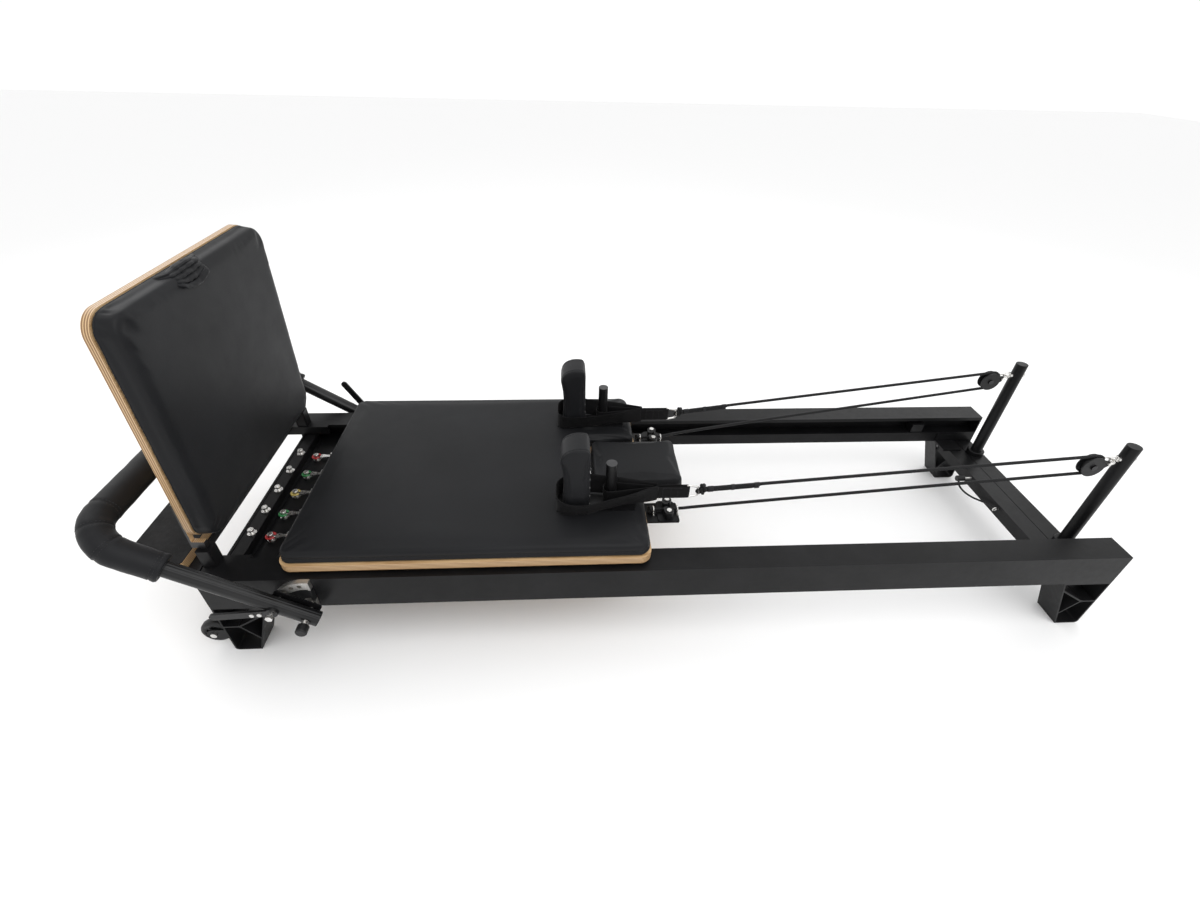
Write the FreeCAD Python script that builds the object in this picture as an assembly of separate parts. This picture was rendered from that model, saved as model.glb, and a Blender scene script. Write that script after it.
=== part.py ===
import FreeCAD, Part
import os
from math import cos, pi, radians, sin, tan

V = FreeCAD.Vector
X_AXIS, Y_AXIS, Z_AXIS = V(1, 0, 0), V(0, 1, 0), V(0, 0, 1)
SIDES = (("near", -1), ("far", 1))          # near is the -Y side, far is the +Y side

# ---------------------------------------------------------------- driving dimensions, mm
# +X runs to the head end with the pulleys, +Z is up and the floor is Z = 0. Positions are
# first given from the middle of the frame, and ORIGIN_SHIFT moves them so that the origin is
# the middle of the whole footprint, platform included.
FRAME_LENGTH = 2400.0
FRAME_WIDTH = 740.0
RAIL_WIDTH = 74.0
RAIL_TOP = 280.0
RAIL_BOTTOM = 178.0
RAIL_WALL = 4.0
TRACK_FLOOR = 217.0                          # the rollers run on this ledge in the rail
TRACK_ROOF = 268.0
TRACK_DEPTH = 44.0
CAP_THICKNESS = 4.0
STOP_X = (954.0, 996.0)

FOOT_TOP_LENGTH = 135.0
FOOT_BOTTOM_LENGTH = 69.0
FOOT_WALL = 4.0
WEB_THICKNESS = 5.0                          # Y-shaped web: distance in from the foot's end, height
WEB_JOINT = (44.0, 100.0)
WEB_TIPS = ((1.0, 100.0), (122.0, 148.0), (84.0, 46.0))

PLATFORM_OUTER = -1388.0
PLATFORM_INNER = -1236.0
PLATFORM_HALF_WIDTH = 335.0
PLATFORM_THICKNESS = 26.0
RUNG_X, RUNG_WIDTH, RUNG_DEPTH = (PLATFORM_OUTER + 14, -1262.0), 30.0, 24.0
BRACKET_WIDTH, BRACKET_BOTTOM, BRACKET_END = 12.0, 250.0, -1100.0
LEDGE_THICKNESS = 12.0                       # fills the corner between platform and rail end

CARRIAGE_START, CARRIAGE_END = -1005.0, -83.0
CARRIAGE_HALF_WIDTH = 355.0
BOARD_BOTTOM, BOARD_TOP, PAD_TOP = 291.0, 311.0, 350.0
NOTCH_START, NOTCH_HALF_WIDTH = -235.0, 108.0
HEADREST_START, HEADREST_END, HEADREST_HALF_WIDTH = -224.5, 38.0, 101.0
HEADREST_HINGE_X, HEADREST_HINGE_Z = -232.0, 342.0
PROP_X, PROP_Z, PROP_RADIUS = -30.0, 284.0, 3.0

ROLLER_RADIUS, ROLLER_WIDTH = 22.0, 30.0
ROLLER_X = (-940.0, -150.0)

REST_X = (-312.0, -238.0)
REST_Y = (152.0, 238.0)
REST_TOP = 560.0
BASE_THICKNESS = 6.0
PEG_X, PEG_Y, PEG_RADIUS, PEG_TOP = -181.0, 188.0, 14.5, 484.0

PIN_Y, PIN_Z, PIN_RADIUS = 94.0, 168.0, 4.0  # locking pin in the crossbar's inner side
RISER_X, RISER_Y, RISER_RADIUS, RISER_TOP = 1168.0, 221.0, 17.5, 538.0
CROSSBAR_X = (1083.0, 1196.0)
CROSSBAR_DEPTH = 40.0

SHEAVE_CENTRE = V(1083.0, 0.0, 478.0)
SHEAVE_RADIUS, SHEAVE_HALF_WIDTH = 27.0, 7.0
ROPE_RADIUS = 4.5
ROPE_WRAP_RADIUS = 24.0
BLOCK_TILT = 20.0
SHEAVE_AXLE_RADIUS, BOLT_HEAD_RADIUS = 4.0, 7.5
CHEEK_RADIUS, CHEEK_THICKNESS = 30.0, 3.0
SHACKLE_PIN_X, SHACKLE_PIN_RADIUS = 33.0, 3.5
EYE_REACH, EYE_WIRE_RADIUS, EYE_SHANK_RADIUS = 56.0, 3.0, 4.0
EYE_RADIUS = 10.0
CLEAT_X, CLEAT_Y, CLEAT_ROPE_Z = -18.0, 171.0, 303.0
CAM_OFFSET, CAM_POST_RADIUS = 22.5, 4.0
D_RING_WIRE = 2.8

# The far rope, from the strap's ring over the sheave to the cleat. The near one mirrors it.
ROPE_ROUTE = (
    V(62, 188, 391), V(1107, 221, 504.8), V(1107, 221, 457.1), V(12, 171, 303), V(-66, 171, 303))
ROPE_TURNS = (ROPE_WRAP_RADIUS, ROPE_WRAP_RADIUS, 30.0)

PIVOT = V(-941.0, 0.0, 191.0)                # the footbar turns about this line
PIVOT_RADIUS = 6.0
KNOB_RADIUS, KNOB_Y = 14.0, (441.0, 462.0)
ARM_ANGLE = 145.0                            # from +X, seen from the near side
ARM_Y = 409.0
ARM_RADIUS, ARM_WALL = 19.0, 2.5
ARM_REACH = 490.0                            # pivot to the middle of the cross tube
ARM_TAIL = 24.0
ARM_CORNER = 105.0
SLEEVE_RADIUS = 35.0
SLEEVE_START = 322.0
INDEX_RADIUS = 78.0                          # pivot to the plunger and the quadrant's holes
INDEX_ANGLES = (145.0, 129.0, 113.0, 97.0)
QUADRANT_RADIUS = 90.0
PIN_TRAVEL = 8.0
LEVER_LENGTH, LEVER_THICKNESS = 148.0, 6.0
LEVER_ANGLES = {"near": 184.0, "far": 118.0}

SPRING_PITCH = 89.0
SPRING_YS = [SPRING_PITCH * n for n in (-2, -1, 0, 1, 2)]
PARK_BAR_X, PARK_BAR_TOP = (-1186.0, -1141.0), 250.0
HOOK_BAR_X, HOOK_BAR_TOP = (-1141.0, -1070.0), 225.0
RIDGE_WIDTH, RIDGE_HEIGHT = 2.0, 2.0
SPRING_BAR_DEPTH = 40.0
PARK_X, HOOK_X = -1155.0, -1110.0
SPRING_AXIS_Z, SPRING_RADIUS = 238.0, 12.5
SPRING_X = (-1060.0, -560.0)
SPRING_RING_RADIUS, SPRING_RING_WIRE = 11.0, 3.0

BOARD_TILT = 3.0                             # the jump board's top leans to the carriage
JUMP_FOOT = V(-1203.0, 0.0, 357.0)           # back face of the jump board at its bottom edge
JUMP_HALF_WIDTH, JUMP_HEIGHT, JUMP_PLY, JUMP_PAD = 313.0, 580.0, 16.0, 46.0
JUMP_CORNER = 48.0
TONGUE_X, TONGUE_Y, TONGUE_DEPTH, TONGUE_NECK = (12.0, 28.0), (298.0, 311.0), 66.0, 20.0
SOCKET_X, SOCKET_Y, SOCKET_TOP = (-1200.0, -1166.0), (288.0, 324.0), 334.0
PULL_Y = (-122.0, 56.0)

TRANSPORT_WHEEL = V(-1238.0, 0.0, 60.0)
TRANSPORT_RADIUS, TRANSPORT_WIDTH, TRANSPORT_Y = 38.0, 24.0, 346.0

RUNNING_GAP = 0.05                           # radial, between a shaft and its bore
CLEAR_GAP = 0.5                              # between parts that only pass each other

HALF_LENGTH = FRAME_LENGTH / 2
HALF_WIDTH = FRAME_WIDTH / 2
RAIL_INNER = HALF_WIDTH - RAIL_WIDTH
ORIGIN_SHIFT = V(-(PLATFORM_OUTER + HALF_LENGTH) / 2, 0, 0)


# ---------------------------------------------------------------- helpers
def export(name, shapes):
    """Write one node. Several solids stay separate inside a compound."""
    solids = []
    for shape in shapes if isinstance(shapes, (list, tuple)) else [shapes]:
        solids += shape.Solids
    node = solids[0].copy() if len(solids) == 1 else Part.makeCompound(solids)
    node.translate(ORIGIN_SHIFT)
    node.exportStep("parts/%s.step" % name)
    box = node.BoundBox
    print("%-22s %2d solid(s)  x %7.1f %7.1f  y %7.1f %7.1f  z %6.1f %6.1f  ok %s" % (
        name, len(solids), box.XMin, box.XMax, box.YMin, box.YMax, box.ZMin, box.ZMax, node.isValid()))


def block(x0, x1, y0, y1, z0, z1):
    return Part.makeBox(x1 - x0, y1 - y0, z1 - z0, V(x0, y0, z0))


def side_block(side, x0, x1, y0, y1, z0, z1):
    """A box given by its distances from the middle plane, on one side of it."""
    low, high = sorted((side * y0, side * y1))
    return block(x0, x1, low, high, z0, z1)


def rod(centre, radius, length, axis):
    """A cylinder that starts at centre and runs along axis."""
    return Part.makeCylinder(radius, length, centre, axis)


def cross_rod(x, z, radius, side, y0, y1):
    """A cylinder across the frame, between two distances from the middle plane."""
    return rod(V(x, side * y0, z), radius, y1 - y0, V(0, side, 0))


def prism(points, direction):
    return Part.Face(Part.makePolygon(points + points[:1])).extrude(direction)


def soften(shape, radius, chosen):
    """Round the edges for which chosen(edge) is true."""
    return shape.makeFillet(radius, [edge for edge in shape.Edges if chosen(edge)])


def is_along(edge, axis):
    ends = edge.Vertexes
    if len(ends) < 2:
        return False
    run = ends[1].Point - ends[0].Point
    return run.Length > 1e-6 and abs(run.normalize().dot(axis)) > 0.999


def rounded_slab(x0, x1, y0, y1, z0, z1, corner, edge=0.0):
    """A flat slab with round vertical corners and, if asked, a round top edge."""
    slab = soften(block(x0, x1, y0, y1, z0, z1), corner, lambda e: is_along(e, Z_AXIS))
    if edge:
        slab = soften(slab, edge, lambda e: min(v.Z for v in e.Vertexes) > z1 - 1e-3)
    return slab


def rounded_path(points, radii):
    """Straight runs joined by tangent arcs, one radius for each inner point."""
    edges = []
    start = points[0]
    for before, corner, after, radius in zip(points, points[1:], points[2:], radii):
        back = (before - corner).normalize()
        onward = (after - corner).normalize()
        turn = pi - back.getAngle(onward)
        reach = radius * tan(turn / 2)
        first, last = corner + back * reach, corner + onward * reach
        middle_way = (back + onward).normalize()
        centre = corner + middle_way * (radius / cos(turn / 2))
        if (first - start).Length > 1e-6:
            edges.append(Part.LineSegment(start, first).toShape())
        edges.append(Part.Arc(first, centre - middle_way * radius, last).toShape())
        start = last
    edges.append(Part.LineSegment(start, points[-1]).toShape())
    return Part.Wire(edges)


def tube(path, radius, bore=0.0):
    """A round bar along a path, or a pipe when it has a bore."""
    start = path.Edges[0]
    place = start.valueAt(start.FirstParameter)
    heading = start.tangentAt(start.FirstParameter)

    def sweep(section_radius):
        ring = Part.Wire(Part.makeCircle(section_radius, place, heading))
        return path.makePipeShell([ring], True, False)

    outside = sweep(radius)
    return outside.cut(sweep(bore)) if bore else outside


def ring(centre, axis, radius, wire_radius):
    return Part.makeTorus(radius, wire_radius, centre, axis)


def turned(shape, centre, axis, angle):
    copy = shape.copy()
    copy.rotate(centre, axis, angle)
    return copy


def report_radii(name, path, radius):
    """Print a cord's arc radii and compare its tube's volume with section times length."""
    radii = [edge.Curve.Radius for edge in path.Edges if hasattr(edge.Curve, "Radius")]
    volume = tube(path, radius).Volume
    ideal = pi * radius ** 2 * path.Length
    print("%s: length %.0f, arc radii %s, volume ratio %.4f" % (
        name, path.Length, [round(r, 1) for r in radii], volume / ideal))


# ---------------------------------------------------------------- frame
def rail(side):
    """C-section side rail: a hollow box with the roller track open to the inside."""
    half = HALF_LENGTH - CAP_THICKNESS
    body = side_block(side, -half, half, RAIL_INNER, HALF_WIDTH, RAIL_BOTTOM, RAIL_TOP)
    start, end = -half - 1, half + 1
    track_wall = RAIL_INNER + TRACK_DEPTH
    outer_wall = HALF_WIDTH - RAIL_WALL
    roof = RAIL_TOP - RAIL_WALL - 1
    hollows = [
        side_block(side, start, end, RAIL_INNER - 1, track_wall, TRACK_FLOOR, TRACK_ROOF),
        side_block(side, start, end, RAIL_INNER + RAIL_WALL, track_wall, TRACK_FLOOR, roof),
        side_block(side, start, end, track_wall + RAIL_WALL, outer_wall, TRACK_FLOOR, roof),
        side_block(side, start, end, RAIL_INNER + RAIL_WALL, outer_wall,
                   RAIL_BOTTOM + RAIL_WALL, TRACK_FLOOR - RAIL_WALL),
    ]
    for hollow in hollows:
        body = body.cut(hollow)
    rib_z = (TRACK_FLOOR + TRACK_ROOF) / 2
    rib = side_block(side, -half, half, track_wall - 2, track_wall, rib_z - 2, rib_z + 2)
    return body.fuse(rib).removeSplitter()


def rail_caps(side):
    """Flat caps that close both ends of a rail."""
    caps = []
    for end in (-1, 1):
        x0, x1 = sorted((end * HALF_LENGTH, end * (HALF_LENGTH - CAP_THICKNESS)))
        caps.append(side_block(side, x0, x1, RAIL_INNER, HALF_WIDTH, RAIL_BOTTOM, RAIL_TOP))
    return caps


def foot(side, end):
    """Hollow ribbed foot: upright outer side, slanted inner side, Y-shaped web inside."""
    outer = end * HALF_LENGTH
    inner_top = end * (HALF_LENGTH - FOOT_TOP_LENGTH)
    inner_bottom = end * (HALF_LENGTH - FOOT_BOTTOM_LENGTH)
    start_y = RAIL_INNER if side > 0 else -HALF_WIDTH

    def point(x, z):
        return V(x, start_y, z)

    across = V(0, RAIL_WIDTH, 0)
    corners = [point(outer, RAIL_BOTTOM), point(inner_top, RAIL_BOTTOM),
               point(inner_bottom, 0), point(outer, 0)]
    shell = prism(corners, across)
    shell = soften(shell, 10.0, lambda e: is_along(e, Y_AXIS) and abs(e.Vertexes[0].X - outer) < 1
                   and e.Vertexes[0].Z < 1)
    wall = FOOT_WALL
    slant = (FOOT_TOP_LENGTH - FOOT_BOTTOM_LENGTH) / RAIL_BOTTOM
    inner_shift = wall * (1 + slant ** 2) ** 0.5
    inside = [point(outer - end * wall, RAIL_BOTTOM - wall),
              point(inner_top + end * (inner_shift + wall * slant), RAIL_BOTTOM - wall),
              point(inner_bottom + end * (inner_shift - wall * slant), wall),
              point(outer - end * wall, wall)]
    cavity = soften(prism(inside, across), 7.0, lambda e: is_along(e, Y_AXIS)
                    and abs(e.Vertexes[0].X - inside[0].x) < 1 and e.Vertexes[0].Z < wall + 1)
    joint = point(end * (HALF_LENGTH - WEB_JOINT[0]), WEB_JOINT[1])
    tips = [point(end * (HALF_LENGTH - inset), z) for inset, z in WEB_TIPS]
    web = None
    for tip in tips:
        way = (tip - joint).normalize()
        offset = V(-way.z, 0, way.x) * (WEB_THICKNESS / 2)
        rib = prism([joint + offset, tip + offset, tip - offset, joint - offset], across)
        web = rib if web is None else web.fuse(rib)
    hub = Part.makeCylinder(4.5, RAIL_WIDTH, joint, Y_AXIS)
    web = web.fuse(hub).common(prism(corners, across))
    return shell.cut(cavity).fuse(web).removeSplitter()


def frame_screws():
    """Button-head screws that hold the feet to the rails, seen in the open foot ends."""
    screws = []
    for name, side in SIDES:
        for end in (-1, 1):
            for inset in (30.0, 95.0):
                x = end * (HALF_LENGTH - inset)
                y = side * (HALF_WIDTH - 16)
                low = RAIL_BOTTOM - FOOT_WALL - 6
                head = rod(V(x, y, low), 7.0, 6.0, Z_AXIS)
                screws.append(soften(head, 2.0, lambda e: e.Vertexes[0].Z < low + 0.1))
    return screws


def head_crossbar():
    """Two grooved bars side by side between the head feet, with an angle at each end."""
    x0, x1 = CROSSBAR_X
    middle = (x0 + x1) / 2
    pieces = []
    for low, high in ((x0, middle - 1), (middle + 1, x1)):
        bar = block(low, high, -RAIL_INNER, RAIL_INNER, RAIL_BOTTOM - CROSSBAR_DEPTH, RAIL_BOTTOM)
        bar = bar.cut(block(low + RAIL_WALL, high - RAIL_WALL, -RAIL_INNER - 1, RAIL_INNER + 1,
                            RAIL_BOTTOM - CROSSBAR_DEPTH + RAIL_WALL, RAIL_BOTTOM - RAIL_WALL))
        pieces.append(bar)
    pieces[0] = pieces[0].cut(rod(V(x0 - 1, PIN_Y, PIN_Z), PIN_RADIUS + RUNNING_GAP, 10, X_AXIS))
    for name, side in SIDES:
        x2, x3 = x0 - 26, x0 + 40
        plate = side_block(side, x2, x3, RAIL_INNER - 62, RAIL_INNER, RAIL_BOTTOM, RAIL_BOTTOM + 6)
        wall = side_block(side, x2, x3, RAIL_INNER - 6, RAIL_INNER, RAIL_BOTTOM, RAIL_BOTTOM + 36)
        pieces.append(plate.fuse(wall).removeSplitter())
    return pieces


def risers():
    """Two upright posts with closed tops, each held by a collar on the crossbar."""
    pieces = []
    for name, side in SIDES:
        base = V(RISER_X, side * RISER_Y, RAIL_BOTTOM)
        post = rod(base, RISER_RADIUS, RISER_TOP - RAIL_BOTTOM, Z_AXIS)
        post = post.cut(rod(base - Z_AXIS, RISER_RADIUS - 3, RISER_TOP - RAIL_BOTTOM - 4, Z_AXIS))
        post = soften(post, 1.2, lambda e: e.Vertexes[0].Z > RISER_TOP - 1)
        eye = eye_centre(side)
        post = post.cut(rod(V(RISER_X - 40, side * RISER_Y, eye.z), EYE_SHANK_RADIUS, 80, X_AXIS))
        height = 16.0
        hole = rod(base - Z_AXIS, RISER_RADIUS, height + 2, Z_AXIS)
        collar = rod(base, 27.0, height, Z_AXIS).cut(hole)
        top = RAIL_BOTTOM + height - 1
        collar = soften(collar, 3.0, lambda e: e.BoundBox.XLength > 50 and e.Vertexes[0].Z > top)
        pieces += [post, collar]
    return pieces


def travel_stops():
    """Rubber-faced blocks in the rail tracks that end the carriage's run."""
    return [side_block(side, STOP_X[0], STOP_X[1], RAIL_INNER + 3, RAIL_INNER + TRACK_DEPTH - 3,
                       TRACK_FLOOR, TRACK_FLOOR + 32)
            for name, side in SIDES]


# ---------------------------------------------------------------- pulleys and ropes
def block_local(side, shape):
    """Tilt a piece modelled with the axle as origin and put it at its pulley."""
    placed = turned(shape, V(0, 0, 0), Y_AXIS, -BLOCK_TILT)
    placed.translate(V(SHEAVE_CENTRE.x, side * RISER_Y, SHEAVE_CENTRE.z))
    return placed


def eye_centre(side):
    return V(SHEAVE_CENTRE.x + EYE_REACH * cos(radians(BLOCK_TILT)), side * RISER_Y,
             SHEAVE_CENTRE.z + EYE_REACH * sin(radians(BLOCK_TILT)))


def pulley_cheeks(side):
    cheeks = []
    gap = SHEAVE_HALF_WIDTH + CLEAR_GAP
    lug_end = SHACKLE_PIN_X + 7
    for face in (-1, 1):
        low = gap if face > 0 else -gap - CHEEK_THICKNESS
        disc = rod(V(0, low, 0), CHEEK_RADIUS, CHEEK_THICKNESS, Y_AXIS)
        lug = prism([V(0, low, -24), V(lug_end, low, -7), V(lug_end, low, 7), V(0, low, 24)],
                    V(0, CHEEK_THICKNESS, 0))
        lug = soften(lug, 5.0, lambda e: is_along(e, Y_AXIS) and e.Vertexes[0].X > lug_end - 1)
        cheek = disc.fuse(lug).removeSplitter()
        for x, radius in ((0, SHEAVE_AXLE_RADIUS), (SHACKLE_PIN_X, SHACKLE_PIN_RADIUS)):
            cheek = cheek.cut(rod(V(x, low - 1, 0), radius, CHEEK_THICKNESS + 2, Y_AXIS))
        cheeks.append(block_local(side, cheek))
    return cheeks


def sheave(side):
    """Grooved wheel on a plain bore."""
    outer, half = SHEAVE_RADIUS, SHEAVE_HALF_WIDTH
    groove = ROPE_WRAP_RADIUS - ROPE_RADIUS - CLEAR_GAP
    bore = SHEAVE_AXLE_RADIUS + RUNNING_GAP
    outline = [V(bore, -half, 0), V(outer, -half, 0), V(groove, -ROPE_RADIUS - 0.4, 0),
               V(groove, ROPE_RADIUS + 0.4, 0), V(outer, half, 0), V(bore, half, 0)]
    wheel = Part.Face(Part.makePolygon(outline + outline[:1])).revolve(V(0, 0, 0), Y_AXIS, 360)
    return block_local(side, wheel)


def pulley_hardware(side):
    """Axle with two heads, shackle with its pin, and the eye bolt through the riser."""
    outside = SHEAVE_HALF_WIDTH + CLEAR_GAP + CHEEK_THICKNESS
    head = 4.0
    axle = rod(V(0, -outside - head, 0), SHEAVE_AXLE_RADIUS, 2 * (outside + head), Y_AXIS)
    for low in (-outside - head, outside):
        axle = axle.fuse(rod(V(0, low, 0), BOLT_HEAD_RADIUS, head, Y_AXIS))
    x, leg, bow = SHACKLE_PIN_X, outside + EYE_WIRE_RADIUS, SHACKLE_PIN_X + 20
    corners = [V(x, -leg, 0), V(bow, -leg, 0), V(bow, leg, 0), V(x, leg, 0)]
    bow_path = rounded_path(corners, (11.0, 11.0))
    pin = rod(V(x, -leg - 4, 0), SHACKLE_PIN_RADIUS, 2 * (leg + 4), Y_AXIS)
    shackle = tube(bow_path, EYE_WIRE_RADIUS).fuse(pin)
    eye = eye_centre(side)
    bolt = ring(eye, Y_AXIS, EYE_RADIUS, EYE_WIRE_RADIUS)
    shank_start = eye.x + EYE_RADIUS - 1
    front, back = RISER_X - RISER_RADIUS, RISER_X + RISER_RADIUS
    shank = rod(V(shank_start, eye.y, eye.z), EYE_SHANK_RADIUS, back + 8 - shank_start, X_AXIS)
    nut = rod(V(front - 5, eye.y, eye.z), BOLT_HEAD_RADIUS, 5.0, X_AXIS)
    cap = rod(V(back, eye.y, eye.z), BOLT_HEAD_RADIUS, 6.0, X_AXIS)
    bolt = bolt.fuse(shank).fuse(nut).fuse(cap).removeSplitter()
    return [block_local(side, axle.removeSplitter()), block_local(side, shackle.removeSplitter()), bolt]


def rope_path(side):
    """From the strap's ring, over the sheave and back to the cleat on the carriage."""
    return rounded_path([V(p.x, side * p.y, p.z) for p in ROPE_ROUTE], ROPE_TURNS)


# ---------------------------------------------------------------- foot end
def spring_bar(x0, x1, top):
    """Hollow bar between the rails, with two ridges along its top."""
    low, wall = top - SPRING_BAR_DEPTH, RAIL_WALL
    bar = block(x0, x1, -RAIL_INNER, RAIL_INNER, low, top)
    ridge_y = RAIL_INNER - 14
    for x in (x0 + 7, x1 - RIDGE_WIDTH):
        bar = bar.fuse(block(x, x + RIDGE_WIDTH, -ridge_y, ridge_y, top - 1, top + RIDGE_HEIGHT))
    inside = block(x0 + wall, x1 - wall, -RAIL_INNER - 1, RAIL_INNER + 1, low + wall, top - wall)
    return bar.removeSplitter().cut(inside)


def hook_post(x, y, z, ring_room):
    """Mushroom post that a spring's end loop drops over."""
    washer = rod(V(x, y, z), 12.0, 2.0, Z_AXIS)
    stem = rod(V(x, y, z), 5.0, 12.0 + ring_room, Z_AXIS)
    head = rod(V(x, y, z + 10 + ring_room), 8.0, 6.0, Z_AXIS)
    head = soften(head, 2.0, lambda e: e.Vertexes[0].Z > z + 15 + ring_room)
    return washer.fuse(stem).fuse(head).removeSplitter()


def spring(y):
    """Closed outer shape of a coil spring with a loop over its hook post."""
    coil = rod(V(SPRING_X[0], y, SPRING_AXIS_Z), SPRING_RADIUS, SPRING_X[1] - SPRING_X[0], X_AXIS)
    loop = ring(V(HOOK_X, y, SPRING_AXIS_Z), Z_AXIS, SPRING_RING_RADIUS, SPRING_RING_WIRE)
    link_start = HOOK_X + SPRING_RING_RADIUS
    link = block(link_start, SPRING_X[0] + 1, y - 5, y + 5, SPRING_AXIS_Z - 1.5, SPRING_AXIS_Z + 1.5)
    tail = rod(V(SPRING_X[1] - 1, y, SPRING_AXIS_Z), 2.0, 13.0, X_AXIS)
    return coil.fuse(loop).fuse(link).fuse(tail).removeSplitter()


def end_brackets():
    """Flat bars from the rails that carry the platform, and the jump board's sockets."""
    pieces = []
    for name, side in SIDES:
        bar = side_block(side, RUNG_X[0], BRACKET_END, RAIL_INNER - BRACKET_WIDTH, RAIL_INNER,
                         BRACKET_BOTTOM, RAIL_TOP)
        ledge = side_block(side, RUNG_X[1], -HALF_LENGTH - CAP_THICKNESS - CLEAR_GAP, RAIL_INNER - 1,
                           PLATFORM_HALF_WIDTH, RAIL_TOP - LEDGE_THICKNESS, RAIL_TOP)
        bar = bar.fuse(ledge).removeSplitter()
        socket = side_block(side, *SOCKET_X, *SOCKET_Y, RAIL_TOP, SOCKET_TOP)
        socket = soften(socket, 4.0, lambda e: is_along(e, Z_AXIS))
        pieces += [bar, socket.cut(jump_tongue(side, CLEAR_GAP))]
    rung_y = RAIL_INNER - BRACKET_WIDTH
    for x in RUNG_X:
        pieces.append(block(x, x + RUNG_WIDTH, -rung_y, rung_y, RAIL_TOP - RUNG_DEPTH, RAIL_TOP))
    return pieces


def platform():
    return rounded_slab(PLATFORM_OUTER, PLATFORM_INNER, -PLATFORM_HALF_WIDTH, PLATFORM_HALF_WIDTH,
                        RAIL_TOP, RAIL_TOP + PLATFORM_THICKNESS, 8.0)


def jump_place(shape):
    """Put a piece modelled upright, back face on X = 0, on the leaning jump board."""
    placed = turned(shape, V(0, 0, 0), Y_AXIS, BOARD_TILT)
    placed.translate(JUMP_FOOT)
    return placed


def jump_tongue(side, gap=0.0):
    """The post under the board's edge that drops into its socket, or the socket's hole."""
    low, high = sorted((side * (TONGUE_Y[0] - gap), side * (TONGUE_Y[1] + gap)))
    return jump_place(block(TONGUE_X[0] - gap, TONGUE_X[1] + gap, low, high, -TONGUE_DEPTH - gap, 0))


def jump_slab(x0, x1, half_width, z0, z1, corner):
    slab = block(x0, x1, -half_width, half_width, z0, z1)
    return soften(slab, corner, lambda e: is_along(e, X_AXIS))


def jump_board():
    ply = jump_place(jump_slab(0, JUMP_PLY, JUMP_HALF_WIDTH, 0, JUMP_HEIGHT, JUMP_CORNER))
    for name, side in SIDES:
        low, high = sorted((side * TONGUE_Y[0], side * TONGUE_Y[1]))
        strap = jump_place(block(-6, 0, low, high, -TONGUE_NECK, 120))
        neck = jump_place(block(-6, TONGUE_X[1], low, high, -TONGUE_NECK, 0))
        ply = ply.fuse(strap).fuse(neck).fuse(jump_tongue(side))
    return ply.removeSplitter()


def jump_pad():
    front = JUMP_PLY + JUMP_PAD
    pad = jump_slab(JUMP_PLY, front, JUMP_HALF_WIDTH, 0, JUMP_HEIGHT, JUMP_CORNER)
    pad = soften(pad, 12, lambda e: min(v.X for v in e.Vertexes) > front - 1e-3)
    return jump_place(pad)


def pull_strap():
    """Leather pull handle laid over the pad's top edge."""
    y0, y1 = PULL_Y
    top, front = JUMP_HEIGHT, JUMP_PLY + JUMP_PAD
    over = block(JUMP_PLY + 1, front + 8, y0, y1, top + 0.5, top + 11)
    hang = block(front + 0.5, front + 8, y0 + 45, y1 - 20, top - 24, top + 11)
    return jump_place(over.fuse(hang).removeSplitter())


# ---------------------------------------------------------------- footbar
def arm_point(distance, side=0.0):
    angle = radians(ARM_ANGLE)
    return V(PIVOT.x + distance * cos(angle), side * ARM_Y, PIVOT.z + distance * sin(angle))


def footbar_path(start):
    corners = [arm_point(start, -1), arm_point(ARM_REACH, -1),
               arm_point(ARM_REACH, 1), arm_point(start, 1)]
    return rounded_path(corners, (ARM_CORNER, ARM_CORNER))


def index_point(angle):
    return PIVOT.x + INDEX_RADIUS * cos(radians(angle)), PIVOT.z + INDEX_RADIUS * sin(radians(angle))


def footbar_tube():
    bar = tube(footbar_path(-ARM_TAIL), ARM_RADIUS, ARM_RADIUS - ARM_WALL)
    pieces = []
    x, z = index_point(ARM_ANGLE)
    for name, side in SIDES:
        bar = bar.cut(cross_rod(PIVOT.x, PIVOT.z, 6.0 + RUNNING_GAP, side, ARM_Y - 40, ARM_Y + 40))
        bar = bar.cut(cross_rod(x, z, 5.0 + RUNNING_GAP, side, ARM_Y - 40, ARM_Y + 40))
        plug_start = arm_point(-ARM_TAIL - 3, side)
        way = (arm_point(0, side) - plug_start).normalize()
        cap = rod(plug_start, ARM_RADIUS, 3.0, way)
        pieces.append(cap.fuse(rod(arm_point(-ARM_TAIL, side), ARM_RADIUS - ARM_WALL, 8.0, way)))
    return [bar] + pieces


def arm_plates():
    """Steel strips behind the arms that join the pivot to the index plunger."""
    plates = []
    x, z = index_point(ARM_ANGLE)
    along = V(cos(radians(ARM_ANGLE)), 0, sin(radians(ARM_ANGLE)))
    up = V(-along.z, 0, along.x) * -1
    for name, side in SIDES:
        inner = side * (ARM_Y - ARM_RADIUS - 4.0)
        origin = V(PIVOT.x, inner, PIVOT.z)
        corners = [origin + along * s + up * h for s, h in ((-20, -23), (96, -23), (96, 23), (-20, 23))]
        plate = prism(corners, V(0, side * 3.0, 0))
        plate = soften(plate, 8.0, lambda e: is_along(e, Y_AXIS))
        plate = plate.cut(cross_rod(PIVOT.x, PIVOT.z, 6.0 + RUNNING_GAP, side, 300, 500))
        plates.append(plate.cut(cross_rod(x, z, 5.0 + RUNNING_GAP, side, 300, 500)))
    return plates


def footbar_sleeve():
    return tube(footbar_path(SLEEVE_START), SLEEVE_RADIUS, ARM_RADIUS)


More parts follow.
